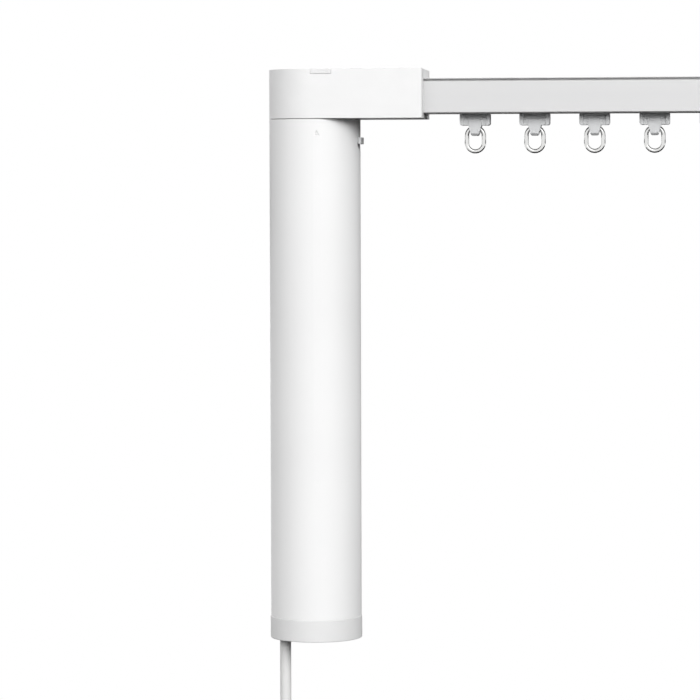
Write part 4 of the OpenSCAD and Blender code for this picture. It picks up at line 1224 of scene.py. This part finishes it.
@dataclass
class Studio:
    """Camera, soft light, a pale floor, and dark cards that only gloss and metal see.

    The world's light is a band above the horizon, between two heights given as sines, with a lobe in
    front and a weaker one behind. The cards are arcs round a centre, each with its angles and heights.
    """

    eye: Point = (-0.31275, -1.72669, -0.06403)
    yaw_deg: float = 6.2867
    pitch_deg: float = 3.0001
    roll_deg: float = -0.15
    sensor_mm: float = 36.0
    lens_mm: float = 162.591
    nearest: float = 0.01
    sky: float = 0.77
    front: float = 5.95
    back: float = 3.95
    front_way: Point = (0.26, -0.965, 0.0)
    band_from: Span = (0.04, 0.3)
    band_to: Span = (0.4, 0.8)
    ground: float = 0.02
    zenith: float = 0.05
    lamp_place: Point = (0.3, -2.2, 1.0)
    lamp_aim: Point = (-0.45, 0.0, -0.1)
    lamp_size: float = 1.6
    lamp_watts: float = 6.0
    floor_z: float = -0.56
    floor_fade: Span = (0.5, 1.4)
    floor_sides: int = 64
    floor_roughness: float = 0.9
    pale: str = "#f2f2f2"
    dark: str = "#101010"
    card_centre: Point = (-0.42, 0.0, 0.0)
    card_radius: float = 1.3
    card_step_deg: float = 8.0
    card_arcs: tuple[tuple[Span, Span], ...] = (
        ((-10.0, 190.0), (-0.14, -0.03)),
        ((70.0, 98.0), (-0.56, -0.14)),
        ((36.0, 88.0), (-0.03, 0.2)),
    )
    plate_x: Span = (-0.8, 1.6)
    plate_y: Span = (-0.45, 1.6)
    plate_lift: float = 0.01
    card_blind: tuple[str, ...] = ("camera", "diffuse", "transmission", "shadow", "volume_scatter")

    def camera(self) -> None:
        """Make the camera at the photograph's place and angle."""
        yaw, pitch, roll = (math.radians(a) for a in (self.yaw_deg, self.pitch_deg, self.roll_deg))
        level = Vector((-math.sin(yaw), math.cos(yaw), 0.0))
        ahead = level * math.cos(pitch) - Vector((0.0, 0.0, math.sin(pitch)))
        side = ahead.cross(Vector((0, 0, 1))).normalized()
        up = side.cross(ahead)
        right = side * math.cos(roll) + up * math.sin(roll)
        above = up * math.cos(roll) - side * math.sin(roll)
        lens = bpy.data.cameras.new("camera")
        lens.sensor_width = self.sensor_mm
        lens.lens = self.lens_mm
        lens.clip_start = self.nearest
        camera = new_object("camera", lens)
        turn = Matrix((right, above, -ahead)).transposed().to_4x4()
        camera.matrix_world = Matrix.Translation(self.eye) @ turn
        bpy.context.scene.camera = camera

    def glow(self, tree: bpy.types.NodeTree) -> bpy.types.NodeSocket:
        """Work out the strength of the light from each way.

        Args:
            tree: The world's node tree.

        Returns:
            The socket that holds the strength.
        """
        way = add_node(tree, "ShaderNodeTexCoord").outputs["Generated"]
        height = add_node(tree, "ShaderNodeSeparateXYZ", {"Vector": way}).outputs["Z"]
        facing = add_node(tree, "ShaderNodeVectorMath", {
            0: way, 1: Vector(self.front_way).normalized(),
        }, operation="DOT_PRODUCT").outputs["Value"]
        square = add_node(tree, "ShaderNodeMath", {0: facing, 1: facing}, operation="MULTIPLY")
        gain = add_node(tree, "ShaderNodeMapRange", {
            "Value": facing, "From Min": -1.0, "From Max": 1.0, "To Min": self.back, "To Max": self.front,
        })
        dome = add_node(tree, "ShaderNodeMath", {
            0: square.outputs[0], 1: gain.outputs["Result"], 2: self.sky,
        }, operation="MULTIPLY_ADD")
        fading = add_node(tree, "ShaderNodeMapRange", {
            "Value": height, "From Min": self.band_to[0], "From Max": self.band_to[1],
            "To Min": 1.0, "To Max": self.zenith,
        }, interpolation_type="SMOOTHSTEP")
        above = add_node(tree, "ShaderNodeMath", {
            0: dome.outputs[0], 1: fading.outputs["Result"],
        }, operation="MULTIPLY")
        return add_node(tree, "ShaderNodeMapRange", {
            "Value": height, "From Min": self.band_from[0], "From Max": self.band_from[1],
            "To Min": self.ground, "To Max": above.outputs[0],
        }, interpolation_type="SMOOTHSTEP").outputs["Result"]

    def world(self) -> None:
        """Light the object from the band, and show a white background to what sees it."""
        world = bpy.data.worlds.new("studio")
        bpy.context.scene.world = world
        world.use_nodes = True
        tree = world.node_tree
        rays = add_node(tree, "ShaderNodeLightPath").outputs
        seen = rays["Is Camera Ray"]
        for ray in ("Is Glossy Ray", "Is Transmission Ray"):
            seen = add_node(tree, "ShaderNodeMath", {0: seen, 1: rays[ray]}, operation="MAXIMUM").outputs[0]
        level = add_node(tree, "ShaderNodeMix", {"Factor": seen, "A": self.glow(tree), "B": 1.0})
        backdrop = tree.nodes["Background"].inputs
        backdrop["Color"].default_value = linear("#ffffff")
        tree.links.new(level.outputs["Result"], backdrop["Strength"])

    def lamp(self) -> None:
        """Hang one large soft lamp in front, a little high and to the right."""
        light = bpy.data.lights.new("softbox", "AREA")
        light.shape = "DISK"
        light.size = self.lamp_size
        light.energy = self.lamp_watts
        place = Vector(self.lamp_place)
        turn = (Vector(self.lamp_aim) - place).to_track_quat("-Z", "Y").to_matrix().to_4x4()
        new_object("softbox", light).matrix_world = Matrix.Translation(place) @ turn

    def matt(self, name: str, colour: str, roughness: float) -> bpy.types.Material:
        """Make a plain material without gloss for the stage.

        Args:
            name: Name of the material.
            colour: Its colour, as sRGB hex.
            roughness: Its roughness.

        Returns:
            The material.
        """
        made = bpy.data.materials.new(name)
        made.use_nodes = True
        shader = made.node_tree.nodes["Principled BSDF"]
        shader.inputs["Base Color"].default_value = linear(colour)
        shader.inputs["Roughness"].default_value = roughness
        shader.inputs["Specular IOR Level"].default_value = 0.0
        return made

    def floor(self) -> None:
        """Lay a plain pale one-sided floor that throws no light up and fades out round the object."""
        form = bmesh.new()
        rim = circle_points(self.floor_fade[1], self.floor_sides, self.floor_z)
        form.faces.new([form.verts.new(p) for p in rim])
        piece = mesh_object("floor", form)
        made = self.matt("pale_floor", self.pale, self.floor_roughness)
        tree = made.node_tree
        dark = add_node(tree, "ShaderNodeBsdfDiffuse", {"Color": linear(self.dark)})
        diffuse = add_node(tree, "ShaderNodeLightPath").outputs["Is Diffuse Ray"]
        both = add_node(tree, "ShaderNodeMixShader", {
            0: diffuse, 1: tree.nodes["Principled BSDF"].outputs[0], 2: dark.outputs[0],
        })
        place = add_node(tree, "ShaderNodeTexCoord").outputs["Object"]
        flat = add_node(tree, "ShaderNodeVectorMath", {0: place, 1: (1.0, 1.0, 0.0)}, operation="MULTIPLY")
        reach = add_node(tree, "ShaderNodeVectorMath", {0: flat.outputs["Vector"]}, operation="LENGTH")
        gone = add_node(tree, "ShaderNodeMapRange", {
            "Value": reach.outputs["Value"], "From Min": self.floor_fade[0], "From Max": self.floor_fade[1],
        }, interpolation_type="SMOOTHSTEP")
        below = add_node(tree, "ShaderNodeNewGeometry").outputs["Backfacing"]
        bare = add_node(tree, "ShaderNodeMath", {0: gone.outputs["Result"], 1: below}, operation="MAXIMUM")
        clear = add_node(tree, "ShaderNodeBsdfTransparent")
        soft = add_node(tree, "ShaderNodeMixShader", {
            0: bare.outputs[0], 1: both.outputs[0], 2: clear.outputs[0],
        })
        tree.links.new(soft.outputs[0], tree.nodes["Material Output"].inputs["Surface"])
        piece.data.materials.append(made)
        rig.stage(piece)

    def cards(self) -> None:
        """Set dark cards low behind and under the object, for its dark outlines in gloss and metal."""
        centre = Vector(self.card_centre)
        form = bmesh.new()
        for (start, stop), heights in self.card_arcs:
            steps = max(2, round((stop - start) / self.card_step_deg))
            arc = [math.radians(start + (stop - start) * k / steps) for k in range(steps + 1)]
            ways = [Vector((math.cos(a), math.sin(a), 0.0)) * self.card_radius for a in arc]
            low, high = (
                [form.verts.new(centre + way + Vector((0.0, 0.0, z))) for way in ways] for z in heights
            )
            for k in range(steps):
                form.faces.new((low[k], low[k + 1], high[k + 1], high[k]))
        (x0, x1), (y0, y1), z = self.plate_x, self.plate_y, self.floor_z + self.plate_lift
        under = [(x0, y0, z), (x1, y0, z), (x1, y1, z), (x0, y1, z)]
        form.faces.new([form.verts.new(centre + Vector(corner)) for corner in under])
        piece = mesh_object("dark_cards", form)
        piece.data.materials.append(self.matt("black_card", self.dark, 1.0))
        for ray in self.card_blind:
            setattr(piece, f"visible_{ray}", False)
        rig.stage(piece)

    def build(self) -> None:
        """Make the light, the floor and the cards."""
        bpy.context.scene.view_settings.view_transform = "Standard"
        self.world()
        self.lamp()
        self.floor()
        self.cards()


def main() -> None:
    """Build the camera, the cord and the rest of the track, and write the two boxes."""
    logging.basicConfig(level=logging.INFO, format="%(message)s")
    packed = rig.load()
    cad_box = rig.bounds()
    frame = Frame(packed["nodes"], packed["record"])
    studio = Studio()
    studio.camera()
    cord = MainsCord()
    line = cord.build(frame)
    plug = MainsPlug().build(frame, rib_tool())
    cord.declare(line, [cord.tie(frame), plug, frame.nodes["plug_pins"]])
    Carriers().build(frame, wire_tool())
    CoverScrews().build(frame, scatter_tool())
    for assembly in (DriveHead(), MotorUnit(), CeilingRail(), EndUnit()):
        assembly.build(frame)
    studio.build()
    with open(SIZE_FILE, "w") as sizes:
        json.dump({"cad": [list(c) for c in cad_box], "visual": [list(c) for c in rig.bounds()]}, sizes)


if __name__ == "__main__":
    main()
